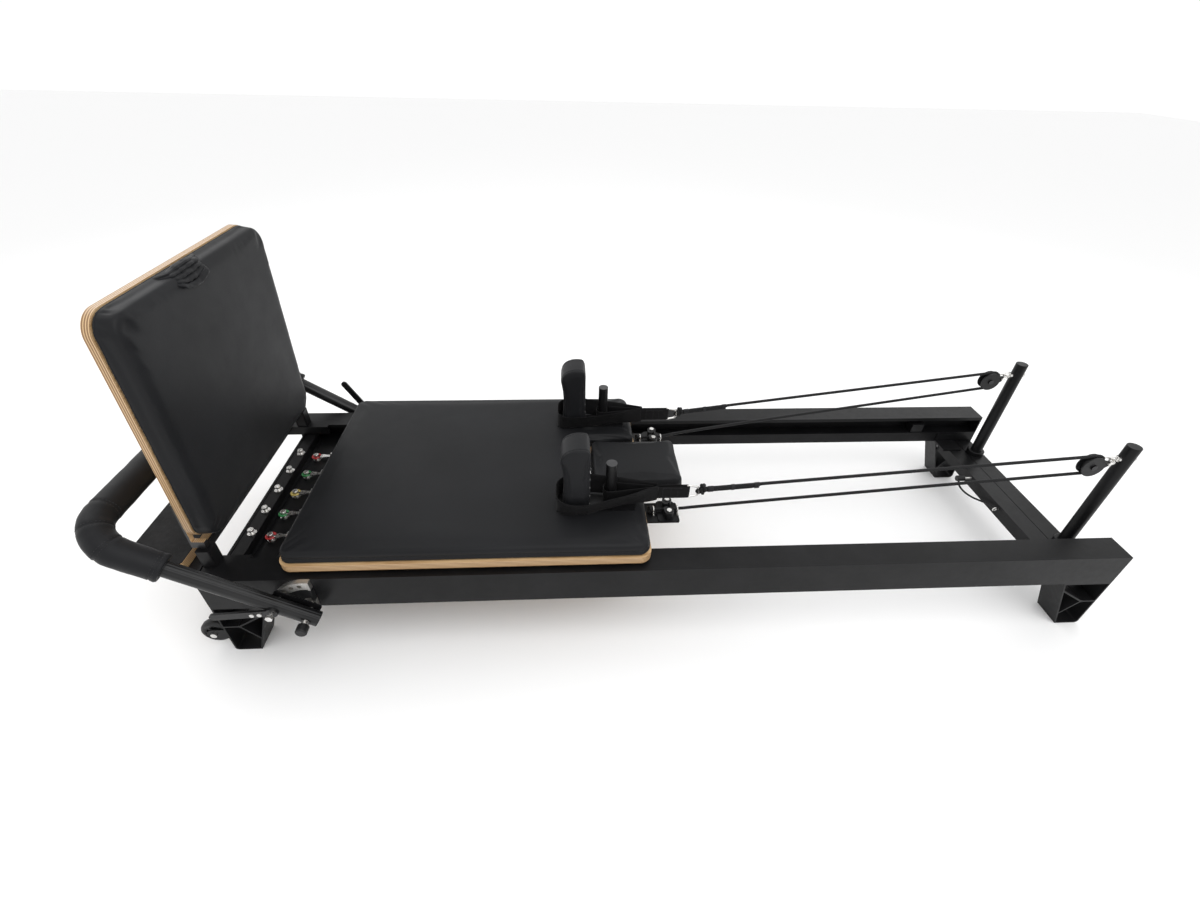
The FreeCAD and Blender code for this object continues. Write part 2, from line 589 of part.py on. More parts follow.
def quadrant(side):
    """Index plate on the rail: a sector with a thick rim that holds the plunger holes."""
    def sector(y0, y1, radius, inner=0.0):
        disc = cross_rod(PIVOT.x, PIVOT.z, radius, side, y0, y1)
        if inner:
            disc = disc.cut(cross_rod(PIVOT.x, PIVOT.z, inner, side, y0 - 1, y1 + 1))
        keep = side_block(side, PIVOT.x - radius - 1, PIVOT.x + 14, y0 - 1, y1 + 1,
                          PIVOT.z - 13, RAIL_TOP + 5)
        return disc.common(keep)

    plate = sector(HALF_WIDTH, HALF_WIDTH + 5, QUADRANT_RADIUS)
    rim = sector(HALF_WIDTH, HALF_WIDTH + 13, QUADRANT_RADIUS, 66)
    edge = side_block(side, PIVOT.x + 8, PIVOT.x + 14, HALF_WIDTH, HALF_WIDTH + 13,
                      PIVOT.z - 13, PIVOT.z + QUADRANT_RADIUS - 2)
    boss = cross_rod(PIVOT.x, PIVOT.z, 12.0, side, HALF_WIDTH, HALF_WIDTH + 13)
    body = plate.fuse(rim).fuse(edge).fuse(boss).removeSplitter()
    for angle in INDEX_ANGLES:
        x, z = index_point(angle)
        body = body.cut(cross_rod(x, z, 5.0 + 0.4, side, HALF_WIDTH + 1, HALF_WIDTH + 20))
    return body.cut(cross_rod(PIVOT.x, PIVOT.z, 6.0, side, HALF_WIDTH - 1, HALF_WIDTH + 20))


def pivot_bolts():
    """Shoulder bolt in each quadrant that carries the arm, with its silver collar."""
    bolts = []
    for name, side in SIDES:
        shaft = cross_rod(PIVOT.x, PIVOT.z, PIVOT_RADIUS, side, HALF_WIDTH, KNOB_Y[0] + 8)
        collar = cross_rod(PIVOT.x, PIVOT.z, 9.5, side, ARM_Y + ARM_RADIUS + CLEAR_GAP, KNOB_Y[0])
        bolts.append(shaft.fuse(collar).removeSplitter())
    return bolts


def pivot_knobs():
    knobs = []
    for name, side in SIDES:
        knob = cross_rod(PIVOT.x, PIVOT.z, KNOB_RADIUS, side, *KNOB_Y)
        far_face = side * KNOB_Y[1]
        knob = soften(knob, 4.0, lambda e: abs(e.Vertexes[0].Y - far_face) < 0.1)
        bore = cross_rod(PIVOT.x, PIVOT.z, PIVOT_RADIUS, side, KNOB_Y[0] - 1, KNOB_Y[0] + 8)
        knobs.append(knob.cut(bore))
    return knobs


def plunger(side):
    """Index pin with a hexagon head; at rest it is drawn out of the quadrant's rim."""
    x, z = index_point(ARM_ANGLE)
    lever_face = ARM_Y + ARM_RADIUS + 1
    head_start = lever_face + LEVER_THICKNESS + PIN_TRAVEL + CLEAR_GAP
    pin = cross_rod(x, z, 5.0, side, HALF_WIDTH + 14, head_start)
    corners = [V(x + 9 * cos(pi * k / 3), side * head_start, z + 9 * sin(pi * k / 3)) for k in range(6)]
    return pin.fuse(prism(corners, V(0, side * 8, 0))).removeSplitter()


def lever(name, side):
    """Flat release lever with a round tip, turning on the index pin."""
    x, z = index_point(ARM_ANGLE)
    low = side * (ARM_Y + ARM_RADIUS + 1)
    thickness = V(0, side * LEVER_THICKNESS, 0)
    half = 10.0
    tip = rod(V(LEVER_LENGTH - half, low, 0), half, LEVER_THICKNESS, V(0, side, 0))
    hub = rod(V(0, low, 0), 14.0, LEVER_THICKNESS, V(0, side, 0))
    bar = prism([V(0, low, -half), V(LEVER_LENGTH - half, low, -half),
                 V(LEVER_LENGTH - half, low, half), V(0, low, half)], thickness)
    body = bar.fuse(tip).fuse(hub).removeSplitter()
    body = body.cut(rod(V(0, low - side, 0), 5.0 + RUNNING_GAP, 8, V(0, side, 0)))
    screws = [rod(V(s, low + side * LEVER_THICKNESS, 0), 5.5, 3.0, V(0, side, 0)) for s in (28, 46)]
    pieces = []
    for piece in [body] + screws:
        placed = turned(piece, V(0, 0, 0), Y_AXIS, -LEVER_ANGLES[name])
        placed.translate(V(x, 0, z))
        pieces.append(placed)
    return pieces


# ---------------------------------------------------------------- transport wheels
def transport_wheel(side):
    half = TRANSPORT_WIDTH / 2
    wheel = cross_rod(TRANSPORT_WHEEL.x, TRANSPORT_WHEEL.z, TRANSPORT_RADIUS, side,
                      TRANSPORT_Y - half, TRANSPORT_Y + half)
    wheel = soften(wheel, 5.0, lambda e: e.BoundBox.XLength > 10)
    return wheel.cut(cross_rod(TRANSPORT_WHEEL.x, TRANSPORT_WHEEL.z, 5.0 + RUNNING_GAP, side, 300, 400))


def wheel_brackets():
    """Forked brackets on the outer faces of the foot-end feet, with the wheel axles."""
    pieces = []
    for name, side in SIDES:
        x, z = TRANSPORT_WHEEL.x, TRANSPORT_WHEEL.z
        half = TRANSPORT_WIDTH / 2 + 1
        for face in (-1, 1):
            y0 = TRANSPORT_Y + (half if face > 0 else -half - 4)
            ear = side_block(side, x, -HALF_LENGTH, y0, y0 + 4, z - 18, z + 18)
            ear = ear.fuse(cross_rod(x, z, 18.0, side, y0, y0 + 4)).removeSplitter()
            pieces.append(ear.cut(cross_rod(x, z, 5.0, side, 300, 400)))
    return pieces


def wheel_axles():
    axles = []
    for name, side in SIDES:
        x, z = TRANSPORT_WHEEL.x, TRANSPORT_WHEEL.z
        reach = TRANSPORT_WIDTH / 2 + 5
        axle = cross_rod(x, z, 5.0, side, TRANSPORT_Y - reach, TRANSPORT_Y + reach)
        for start in (TRANSPORT_Y - reach - 5, TRANSPORT_Y + reach):
            axle = axle.fuse(cross_rod(x, z, 8.0, side, start, start + 5))
        axles.append(axle.removeSplitter())
    return axles


# ---------------------------------------------------------------- carriage
def carriage_slab(z0, z1, edge=0.0, hinge_room=0.0):
    """The carriage's plan: a wide slab with a notch for the headrest at the head end."""
    x0, x1, half = CARRIAGE_START, CARRIAGE_END, CARRIAGE_HALF_WIDTH
    slab = block(x0, x1, -half, half, z0, z1)
    notch = NOTCH_HALF_WIDTH
    slab = slab.cut(block(NOTCH_START - hinge_room, x1 + 1, -notch, notch, z0 - 1, z1 + 1))
    slab = soften(slab, 32, lambda e: is_along(e, Z_AXIS) and abs(abs(e.Vertexes[0].Y) - half) < 1)
    slab = soften(slab, 14, lambda e: is_along(e, Z_AXIS) and abs(e.Vertexes[0].X - x1) < 1
                  and abs(e.Vertexes[0].Y) < half - 40)
    if edge:
        slab = soften(slab, edge, lambda e: min(v.Z for v in e.Vertexes) > z1 - 1e-3)
    return slab


def undercarriage():
    """Steel rails under the board, with roller brackets, axles and the spring anchor bar."""
    pieces = []
    x0, x1 = CARRIAGE_START + 40, NOTCH_START + 70
    rail_y, plate_y = 262.0, RAIL_INNER - 12
    axle_z = TRACK_FLOOR + ROLLER_RADIUS + 0.3
    for name, side in SIDES:
        runner = side_block(side, x0, x1, rail_y - 20, plate_y, BOARD_BOTTOM - 14, BOARD_BOTTOM)
        for x in ROLLER_X:
            plate = side_block(side, x - 26, x + 26, plate_y - 4, plate_y, axle_z - 16, BOARD_BOTTOM)
            runner = runner.fuse(plate)
            axle = cross_rod(x, axle_z, 5.0, side, plate_y, RAIL_INNER + 4 + ROLLER_WIDTH + 2)
            collar = cross_rod(x, axle_z, 8.0, side, plate_y, RAIL_INNER + 3)
            runner = runner.fuse(axle).fuse(collar)
        pieces.append(runner.removeSplitter())
    return pieces


def spring_anchor():
    """Cross bar under the board that the springs pull on."""
    x = SPRING_X[1] + 12
    bar = block(x, x + 30, -225, 225, SPRING_AXIS_Z - 14, SPRING_AXIS_Z + 14)
    for y in (-220, -45, 45, 205):
        bar = bar.fuse(block(x + 8, x + 22, y, y + 15, SPRING_AXIS_Z, BOARD_BOTTOM))
    return bar.removeSplitter()


def roller(side, x):
    start = RAIL_INNER + 4
    z = TRACK_FLOOR + ROLLER_RADIUS + 0.3
    wheel = cross_rod(x, z, ROLLER_RADIUS, side, start, start + ROLLER_WIDTH)
    wheel = soften(wheel, 2.0, lambda e: e.BoundBox.XLength > 10)
    return wheel.cut(cross_rod(x, z, 5.0 + RUNNING_GAP, side, start - 5, start + ROLLER_WIDTH + 5))


def headrest_slab(inset, z0, z1, edge=0.0):
    half = HEADREST_HALF_WIDTH - inset
    return rounded_slab(HEADREST_START + inset, HEADREST_END - inset, -half, half, z0, z1, 18, edge)


def headrest_board():
    """Board under the headrest pad, with its hinge knuckles and the prop's two clips."""
    board = headrest_slab(0.5, BOARD_BOTTOM, BOARD_TOP)
    x, z = HEADREST_HINGE_X, HEADREST_HINGE_Z
    pieces = [board]
    for y in (-45, 33):
        knuckle = rod(V(x, y, z), 4.8, 12, Y_AXIS)
        leaf = block(HEADREST_START - 2.5, HEADREST_START - 0.5, y, y + 12, BOARD_BOTTOM, z - 1)
        foot_plate = block(HEADREST_START - 2.5, HEADREST_START + 30, y, y + 12,
                           BOARD_BOTTOM - 2, BOARD_BOTTOM)
        hinge = knuckle.fuse(leaf).fuse(foot_plate).removeSplitter()
        pieces.append(hinge.cut(rod(V(x, y - 1, z), 2.5 + RUNNING_GAP, 14, Y_AXIS)))
    for y in (-71, 65):
        clip = block(PROP_X - 7, PROP_X + 7, y, y + 6, PROP_Z - 6, BOARD_BOTTOM)
        pieces.append(clip.cut(rod(V(PROP_X, y - 1, PROP_Z), PROP_RADIUS + RUNNING_GAP, 8, Y_AXIS)))
    return pieces


def headrest_hinge():
    """Hinge rod in the groove between the two pads, on posts from the carriage board."""
    x, z = HEADREST_HINGE_X, HEADREST_HINGE_Z
    hinge = rod(V(x, -HEADREST_HALF_WIDTH + 4, z), 2.5, 2 * HEADREST_HALF_WIDTH - 8, Y_AXIS)
    for y in (-70, 66):
        hinge = hinge.fuse(block(x - 2.4, x - 0.4, y, y + 4, BOARD_BOTTOM - 3, z))
        hinge = hinge.fuse(block(x - 30, x - 0.4, y, y + 4, BOARD_BOTTOM - 3, BOARD_BOTTOM))
    return hinge.removeSplitter()


def headrest_prop():
    """Wire bail folded flat under the headrest; it swings down to hold it up."""
    x, z = PROP_X, PROP_Z
    corners = [V(x, -58, z), V(x - 100, -58, z), V(x - 100, 58, z), V(x, 58, z)]
    bail = tube(rounded_path(corners, (14, 14)), PROP_RADIUS)
    pin = rod(V(x, -74, z), PROP_RADIUS, 148, Y_AXIS)
    return bail.fuse(pin).removeSplitter()


def rest_base(side):
    """Base plate that sits on the carriage pad, with the strap peg standing on it."""
    low, high = sorted((side * 163, side * 227))
    z = PAD_TOP + 0.4
    top = z + BASE_THICKNESS
    plate = rounded_slab(REST_X[0] - 14, -116, low, high, z, top, 8)
    peg = rod(V(PEG_X, side * PEG_Y, top), PEG_RADIUS, PEG_TOP - top, Z_AXIS)
    peg = soften(peg, 1.2, lambda e: e.Vertexes[0].Z > PEG_TOP - 0.1)
    return plate.fuse(peg).removeSplitter()


def rest_pad(side):
    """Upright shoulder pad: flat back with a tight top corner, round front corner, waisted front."""
    low = PAD_TOP + 0.4 + BASE_THICKNESS
    x0, x1 = REST_X
    y0, y1 = sorted((side * REST_Y[0], side * REST_Y[1]))
    start = V(x1, y0, low)
    back_top, crown_back = V(x1, y0, REST_TOP - 14), V(x1 - 12, y0, REST_TOP - 1)
    crown_front, front_top = V(x0 + 24, y0, REST_TOP - 5), V(x0, y0, REST_TOP - 36)
    waist, front = V(x0 + 9, y0, 450), V(x0 + 2, y0, low)
    edges = [
        Part.LineSegment(start, back_top).toShape(),
        Part.Arc(back_top, V(x1 - 3.2, y0, REST_TOP - 5), crown_back).toShape(),
        Part.Arc(crown_back, V(x0 + 44, y0, REST_TOP), crown_front).toShape(),
        Part.Arc(crown_front, V(x0 + 7, y0, REST_TOP - 17), front_top).toShape(),
        Part.Arc(front_top, waist, front).toShape(),
        Part.LineSegment(front, start).toShape(),
    ]
    pad = Part.Face(Part.Wire(edges)).extrude(V(0, y1 - y0, 0))
    return soften(pad, 5, lambda e: e.BoundBox.YLength < 1 and e.BoundBox.ZMax > low + 1)


def strap(side):
    """Two webbing loops on edge, one round the shoulder pad and one round the peg."""
    z0, z1 = PAD_TOP + 7.5, PAD_TOP + 56.0
    y_mid = side * PEG_Y
    ring_x = -50.0

    def outline(x0, x1, half_in, half_out, grow):
        """Plan of a loop: straight beside what it goes round, then tapering to the ring."""
        inner, outer = -side * (half_in + grow), side * (half_out + grow)
        neck = side * (4 + grow)
        points = [V(x0 - grow, y_mid + inner, z0), V(x0 - grow, y_mid + outer, z0),
                  V(x1, y_mid + outer, z0), V(ring_x, y_mid + neck, z0),
                  V(ring_x, y_mid - neck, z0), V(x1, y_mid + inner, z0)]
        return prism(points, V(0, 0, z1 - z0))

    def loop(x0, x1, half_in, half_out, corner):
        band = []
        for grow in (3.0, 0.0):
            band.append(soften(outline(x0, x1, half_in, half_out, grow), corner + grow,
                               lambda e: is_along(e, Z_AXIS) and abs(e.Vertexes[0].X - x0 + grow) < 1))
        return band[0].cut(band[1])

    wide = loop(REST_X[0] - 6, REST_X[1] + 4, 37.5, 52.0, 18.0)
    narrow = loop(PEG_X - PEG_RADIUS - 3, PEG_X + 10, 17.0, 17.0, 14.0)
    tail = block(ring_x - 10, 22.5, y_mid - 5, y_mid + 5, z0 + 2, z1 - 6)
    return wide.fuse(narrow).fuse(tail).removeSplitter()


def d_ring(side):
    """Flat-sided ring that joins the strap to the rope."""
    centre = V(38, side * PEG_Y, PAD_TOP + 33)
    path = [centre + V(x, 0, z) for x, z in ((-12, -20), (18, -14), (18, 14), (-12, 20))]
    bow = rounded_path(path, (10, 10))
    closing = Part.LineSegment(path[3], path[0]).toShape()
    wire = Part.Wire(bow.Edges)
    bar = tube(Part.Wire([closing]), D_RING_WIRE)
    return tube(wire, D_RING_WIRE).fuse(bar).removeSplitter()


def cleat(side):
    """Bracket plate off the carriage board with the cleat's round-cornered base."""
    y = side * CLEAT_Y
    plate = block(-150, 12, y - 38, y + 38, BOARD_BOTTOM - 5, BOARD_BOTTOM)
    plate = soften(plate, 5.0, lambda e: is_along(e, Z_AXIS))
    base = rounded_slab(-48, 6, y - 42, y + 42, BOARD_BOTTOM, BOARD_BOTTOM + 4, 14)
    return plate.fuse(base).removeSplitter()


def cam_posts(side):
    posts = []
    for offset in (-CAM_OFFSET, CAM_OFFSET):
        y = side * CLEAT_Y + offset
        post = rod(V(CLEAT_X, y, BOARD_BOTTOM + 4), CAM_POST_RADIUS, 26.0, Z_AXIS)
        head = rod(V(CLEAT_X, y, BOARD_BOTTOM + 27), 7.0, 4.0, Z_AXIS)
        head = soften(head, 1.5, lambda e: e.Vertexes[0].Z > BOARD_BOTTOM + 30)
        posts.append(post.fuse(head).removeSplitter())
    return posts


def fairleads(side):
    """Wire eyes that lead the rope into and out of the cleat."""
    eyes = []
    y, z = side * CLEAT_Y, BOARD_BOTTOM
    for x in (-58.0, 9.0):
        eye = ring(V(x, y, CLEAT_ROPE_Z), X_AXIS, 8.0, 2.2)
        lug = block(x - 2, x + 2, y - 16, y + 16, z, z + 4)
        eyes.append(eye.fuse(lug).removeSplitter())
    return eyes


def cam(side, offset):
    """Toothed cam that grips the rope from one side."""
    x, y = CLEAT_X, side * CLEAT_Y + offset
    toward = -1 if offset > 0 else 1
    z0, height = BOARD_BOTTOM + 4.5, 22.0
    hub = rod(V(x, y, z0), 13.0, height, Z_AXIS)
    lobe = rod(V(x - 6, y + toward * 9.4, z0), 8.0, height, Z_AXIS)
    bridge = prism([V(x - 13, y, z0), V(x - 13, y + toward * 9.4, z0), V(x + 1, y + toward * 13, z0),
                    V(x + 12, y, z0)], V(0, 0, height))
    body = hub.fuse(lobe).fuse(bridge).removeSplitter()
    return body.cut(rod(V(x, y, z0 - 1), CAM_POST_RADIUS + RUNNING_GAP, height + 2, Z_AXIS))


# ---------------------------------------------------------------- locking pin and lanyard
PIN_TIP = V(CROSSBAR_X[0] + 4, PIN_Y, PIN_Z)
LANYARD_RADIUS = 3.0
LANYARD_ROUTE = (
    V(1044, 94, 157.0), V(1045, 91, 147), V(1049, 80, 138), V(1055, 64, 133), V(1061, 46, 133),
    V(1065, 28, 137), V(1068, 10, 144), V(1070, -8, 152), V(1071, -25, 159), V(1071, -40, 163.5),
    V(1071, -50.5, 165))


def lock_pin():
    """Removable pin in the crossbar's side with a ribbed knob."""
    reach = 30.0
    shaft = rod(PIN_TIP, PIN_RADIUS, reach, V(-1, 0, 0))
    knob = rod(PIN_TIP - X_AXIS * reach, 10.0, 26.0, V(-1, 0, 0))
    return [shaft, soften(knob, 2.5, lambda e: e.BoundBox.YLength > 10)]


def lanyard_anchor():
    """Screw eye in the crossbar's side that the lanyard is tied to."""
    x, y, z = CROSSBAR_X[0], -57.5, 165.0
    shank = rod(V(x, y, z), 2.5, 7.5, V(-1, 0, 0))
    return shank.fuse(ring(V(x - 12, y, z), Y_AXIS, 5.5, 2.0)).removeSplitter()


def lanyard_path():
    runs = [(b - a).Length for a, b in zip(LANYARD_ROUTE, LANYARD_ROUTE[1:])]
    radii = []
    for k in range(1, len(LANYARD_ROUTE) - 1):
        back = LANYARD_ROUTE[k - 1] - LANYARD_ROUTE[k]
        onward = LANYARD_ROUTE[k + 1] - LANYARD_ROUTE[k]
        turn = pi - back.getAngle(onward)
        radii.append(0.45 * min(runs[k - 1], runs[k]) / tan(turn / 2))
    return rounded_path(LANYARD_ROUTE, radii)


# ---------------------------------------------------------------- build
def build():
    os.makedirs("parts", exist_ok=True)
    for name, side in SIDES:
        export("rail_" + name, [rail(side)] + rail_caps(side))
    export("feet_head_end", [foot(side, 1) for name, side in SIDES])
    export("feet_foot_end", [foot(side, -1) for name, side in SIDES])
    export("frame_bolts", frame_screws() + pivot_bolts() + wheel_axles() + [lanyard_anchor()])
    export("head_crossbar", head_crossbar())
    export("risers", risers())
    export("travel_stops", travel_stops())
    export("pulley_cheeks", pulley_cheeks(-1) + pulley_cheeks(1))
    export("pulley_hardware", pulley_hardware(-1) + pulley_hardware(1))
    for name, side in SIDES:
        export("sheave_" + name, sheave(side))
        path = rope_path(side)
        report_radii("rope_" + name, path, ROPE_RADIUS)
        export("rope_" + name, tube(path, ROPE_RADIUS))
    export("spring_park_bar", spring_bar(PARK_BAR_X[0], PARK_BAR_X[1], PARK_BAR_TOP))
    export("spring_hook_bar", spring_bar(HOOK_BAR_X[0], HOOK_BAR_X[1], HOOK_BAR_TOP))
    posts = [hook_post(PARK_X, y, PARK_BAR_TOP, 0.0) for y in SPRING_YS]
    posts += [hook_post(HOOK_X, y, HOOK_BAR_TOP, 6.0) for y in SPRING_YS]
    export("hook_posts", posts)
    export("springs", [spring(y) for y in SPRING_YS])
    export("end_brackets", end_brackets() + wheel_brackets())
    export("platform", platform())
    export("jump_board", jump_board())
    export("jump_pad", jump_pad())
    export("pull_strap", pull_strap())
    export("footbar_tube", footbar_tube())
    export("footbar_sleeve", footbar_sleeve())
    export("arm_plates", arm_plates())
    export("quadrants", [quadrant(side) for name, side in SIDES])
    export("pivot_knobs", pivot_knobs())
    for name, side in SIDES:
        export("plunger_" + name, plunger(side))
        export("lever_" + name, lever(name, side))
        export("transport_wheel_" + name, transport_wheel(side))
    export("carriage_board", carriage_slab(BOARD_BOTTOM, BOARD_TOP))
    export("carriage_pad", carriage_slab(BOARD_TOP, PAD_TOP, 12, 3.0))
    export("undercarriage", undercarriage() + [spring_anchor()])
    for name, side in SIDES:
        for label, x in zip(("foot", "head"), ROLLER_X):
            export("roller_%s_%s" % (name, label), roller(side, x))
    export("headrest_board", headrest_board())
    export("headrest_pad", headrest_slab(0, BOARD_TOP, PAD_TOP, 12))
    export("headrest_hinge", headrest_hinge())
    export("headrest_prop", headrest_prop())
    for name, side in SIDES:
        export("rest_base_" + name, rest_base(side))
        export("rest_pad_" + name, rest_pad(side))
    export("straps", [strap(side) for name, side in SIDES])
    export("d_rings", [d_ring(side) for name, side in SIDES])
    export("cleat_plates", [cleat(side) for name, side in SIDES])
    fittings = [cam_posts(side) + fairleads(side) for name, side in SIDES]
    export("cleat_hardware", fittings[0] + fittings[1])
    for name, side in SIDES:
        for label, offset in (("inner", -CAM_OFFSET * side), ("outer", CAM_OFFSET * side)):
            export("cam_%s_%s" % (name, label), cam(side, offset))
    export("lock_pin", lock_pin())
    report_radii("lanyard", lanyard_path(), LANYARD_RADIUS)
    export("lanyard", tube(lanyard_path(), LANYARD_RADIUS))


build()
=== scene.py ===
import math

import bmesh
import bpy
import numpy as np
from mathutils import Matrix, Vector, noise


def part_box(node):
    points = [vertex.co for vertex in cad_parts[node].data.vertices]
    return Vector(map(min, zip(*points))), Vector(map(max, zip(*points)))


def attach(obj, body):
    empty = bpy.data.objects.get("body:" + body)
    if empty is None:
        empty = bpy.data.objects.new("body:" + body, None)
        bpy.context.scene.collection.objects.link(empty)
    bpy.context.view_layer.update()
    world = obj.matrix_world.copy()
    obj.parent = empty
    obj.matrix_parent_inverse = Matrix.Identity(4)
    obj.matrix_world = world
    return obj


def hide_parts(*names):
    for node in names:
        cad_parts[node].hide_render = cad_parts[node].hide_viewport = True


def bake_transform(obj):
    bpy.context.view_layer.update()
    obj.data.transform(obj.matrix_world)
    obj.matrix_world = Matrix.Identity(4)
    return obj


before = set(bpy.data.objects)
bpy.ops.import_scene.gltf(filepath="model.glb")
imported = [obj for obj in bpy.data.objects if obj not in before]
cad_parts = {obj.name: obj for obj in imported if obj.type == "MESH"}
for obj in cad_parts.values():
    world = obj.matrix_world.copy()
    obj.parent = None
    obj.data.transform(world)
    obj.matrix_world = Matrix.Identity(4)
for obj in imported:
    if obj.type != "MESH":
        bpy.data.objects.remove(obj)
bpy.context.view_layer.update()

# ---------------------------------------------------------------- sizes, metres, in the row frame
SIDES = (("near", -1), ("far", 1))
X_AXIS, Y_AXIS, Z_AXIS = Vector((1, 0, 0)), Vector((0, 1, 0)), Vector((0, 0, 1))
PAD_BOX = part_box("carriage_pad")
BOARD_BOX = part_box("carriage_board")
PAD_TOP = PAD_BOX[1].z
SEAM_HEIGHT = BOARD_BOX[1].z + 0.015
JUMP_TILT = math.radians(3.0)
JUMP_FOOT = Vector((-1.109, 0.0, 0.357))
JUMP_PLY, JUMP_PAD, JUMP_HEIGHT = 0.016, 0.046, 0.580
PIVOT = Vector((-0.847, 0.0, 0.191))          # the footbar and the quadrants turn about it
WINDOW_OUTER, WINDOW_INNER = 0.063, 0.026     # the quadrant's window: a ring on the solid plate painted black as painted shade
AXLE_X, AXLE_Z, AXLE_HEAD = 1.177, 0.478, 0.013
PEG_Y = 0.188
ROPE_DIAMETER = 0.009
LANYARD_DIAMETER = 0.006
WEBBING_HEIGHT, WEBBING_THICKNESS = 0.052, 0.0028
BLACK, STEEL = (0.005, 0.005, 0.0055), (0.78, 0.77, 0.75)


# ---------------------------------------------------------------- shader helpers
class Shader:
    """One material: a Principled shader and the few textures that feed it."""

    def __init__(self, name, colour, roughness, metallic=0.0, **sockets):
        self.material = bpy.data.materials.new(name)
        self.material.use_nodes = True
        self.tree = self.material.node_tree
        self.shader = self.tree.nodes["Principled BSDF"]
        self.set("Base Color", (*colour, 1.0))
        self.set("Roughness", roughness)
        self.set("Metallic", metallic)
        for socket, value in sockets.items():
            self.set(socket.replace("_", " "), value)
        self.place = self.node("ShaderNodeTexCoord").outputs["Object"]
        self.bump = None

    def set(self, socket, value):
        self.shader.inputs[socket].default_value = value

    def node(self, kind, **values):
        made = self.tree.nodes.new(kind)
        for key, value in values.items():
            if hasattr(made, key):
                setattr(made, key, value)
            else:
                made.inputs[key.replace("_", " ")].default_value = value
        return made

    def link(self, source, target):
        self.tree.links.new(source, target)

    def stretched(self, scale, turn=(0, 0, 0)):
        """Object coordinates, scaled per axis after a turn."""
        mapping = self.node("ShaderNodeMapping", vector_type="POINT")
        mapping.inputs["Rotation"].default_value = turn
        mapping.inputs["Scale"].default_value = scale
        self.link(self.place, mapping.inputs["Vector"])
        return mapping.outputs["Vector"]

    def noise(self, scale, detail=3.0, place=None, rough=0.5):
        made = self.node("ShaderNodeTexNoise", Scale=scale, Detail=detail, Roughness=rough)
        self.link(place or self.place, made.inputs["Vector"])
        return made.outputs["Fac"]

    def cells(self, scale, feature="F1"):
        made = self.node("ShaderNodeTexVoronoi", feature=feature, Scale=scale)
        self.link(self.place, made.inputs["Vector"])
        return made.outputs["Distance"]

    def wave(self, scale, axis, distortion):
        made = self.node("ShaderNodeTexWave", bands_direction=axis, Scale=scale,
                         Distortion=distortion)
        self.link(self.place, made.inputs["Vector"])
        return made.outputs["Fac"]

    def maths(self, operation, first, second=None):
        made = self.node("ShaderNodeMath", operation=operation)
        for socket, value in zip(made.inputs, (first, second)):
            if isinstance(value, (int, float)):
                socket.default_value = value
            elif value is not None:
                self.link(value, socket)
        return made.outputs[0]

    def ramp(self, source, stops):
        """Colours by value; stops are (position, colour)."""
        made = self.node("ShaderNodeValToRGB")
        elements = made.color_ramp.elements
        while len(elements) < len(stops):
            elements.new(0.5)
        for element, (position, colour) in zip(elements, stops):
            element.position = position
            element.color = (*colour, 1.0)
        self.link(source, made.inputs["Fac"])
        return made.outputs["Color"]

    def split(self, source=None):
        """X, Y and Z of a vector, or of the object's own coordinates."""
        made = self.node("ShaderNodeSeparateXYZ")
        self.link(source or self.place, made.inputs["Vector"])
        return made.outputs

    def within(self, x, z, radius, inner=0.0):
        """One inside a ring about a line along Y, nought outside it."""
        split = self.split()
        across = self.maths("SUBTRACT", split["X"], x)
        up = self.maths("SUBTRACT", split["Z"], z)
        square = self.maths("ADD", self.maths("MULTIPLY", across, across), self.maths("MULTIPLY", up, up))
        return self.maths("MULTIPLY", self.maths("LESS_THAN", square, radius ** 2),
                          self.maths("GREATER_THAN", square, inner ** 2))

    def scaled(self, source, low, high):
        made = self.node("ShaderNodeMapRange")
        made.inputs["To Min"].default_value = low
        made.inputs["To Max"].default_value = high
        self.link(source, made.inputs["Value"])
        return made.outputs["Result"]

    def mix(self, factor, first, second):
        made = self.node("ShaderNodeMix", data_type="RGBA")
        self.link(factor, made.inputs[0])
        for socket, value in ((made.inputs[6], first), (made.inputs[7], second)):
            if isinstance(value, tuple):
                socket.default_value = (*value, 1.0)
            else:
                self.link(value, socket)
        return made.outputs[2]

    def coloured(self, output):
        self.link(output, self.shader.inputs["Base Color"])

    def roughened(self, source, low, high):
        self.link(self.scaled(source, low, high), self.shader.inputs["Roughness"])

    def bumped(self, height, distance, strength=1.0):
        """Add one bump; several are chained."""
        made = self.node("ShaderNodeBump", Strength=strength, Distance=distance)
        self.link(height, made.inputs["Height"])
        if self.bump:
            self.link(self.bump.outputs["Normal"], made.inputs["Normal"])
        self.link(made.outputs["Normal"], self.shader.inputs["Normal"])
        self.bump = made


# ---------------------------------------------------------------- materials
def powder_coat(name, colour=(0.0042, 0.0042, 0.0046), roughness=0.36):
    """Satin black powder coat: faint orange peel, dust and handling marks."""
    s = Shader(name, colour, roughness, Specular_IOR_Level=0.17)
    dust = s.noise(9.0, 6.0, rough=0.6)
    lighter = tuple(c * 1.8 + 0.001 for c in colour)
    s.coloured(s.ramp(dust, [(0.42, colour), (0.75, lighter)]))
    s.roughened(s.noise(60.0, 5.0), roughness - 0.08, roughness + 0.12)
    s.bumped(s.noise(900.0, 2.0), 0.00012, 0.5)
    s.bumped(s.noise(14.0, 2.0), 0.0006, 0.15)
    return s.material


def polished_steel(name="steel_hardware", colour=STEEL, roughness=0.22):
    s = Shader(name, colour, roughness, 1.0)
    stains = s.noise(55.0, 5.0)
    s.coloured(s.ramp(stains, [(0.35, tuple(c * 0.72 for c in colour)), (0.6, colour)]))
    s.roughened(s.noise(260.0, 4.0), roughness * 0.7, roughness * 1.9)
    s.bumped(s.noise(500.0, 3.0, place=s.stretched((1, 8, 1))), 0.00008, 0.4)
    return s.material


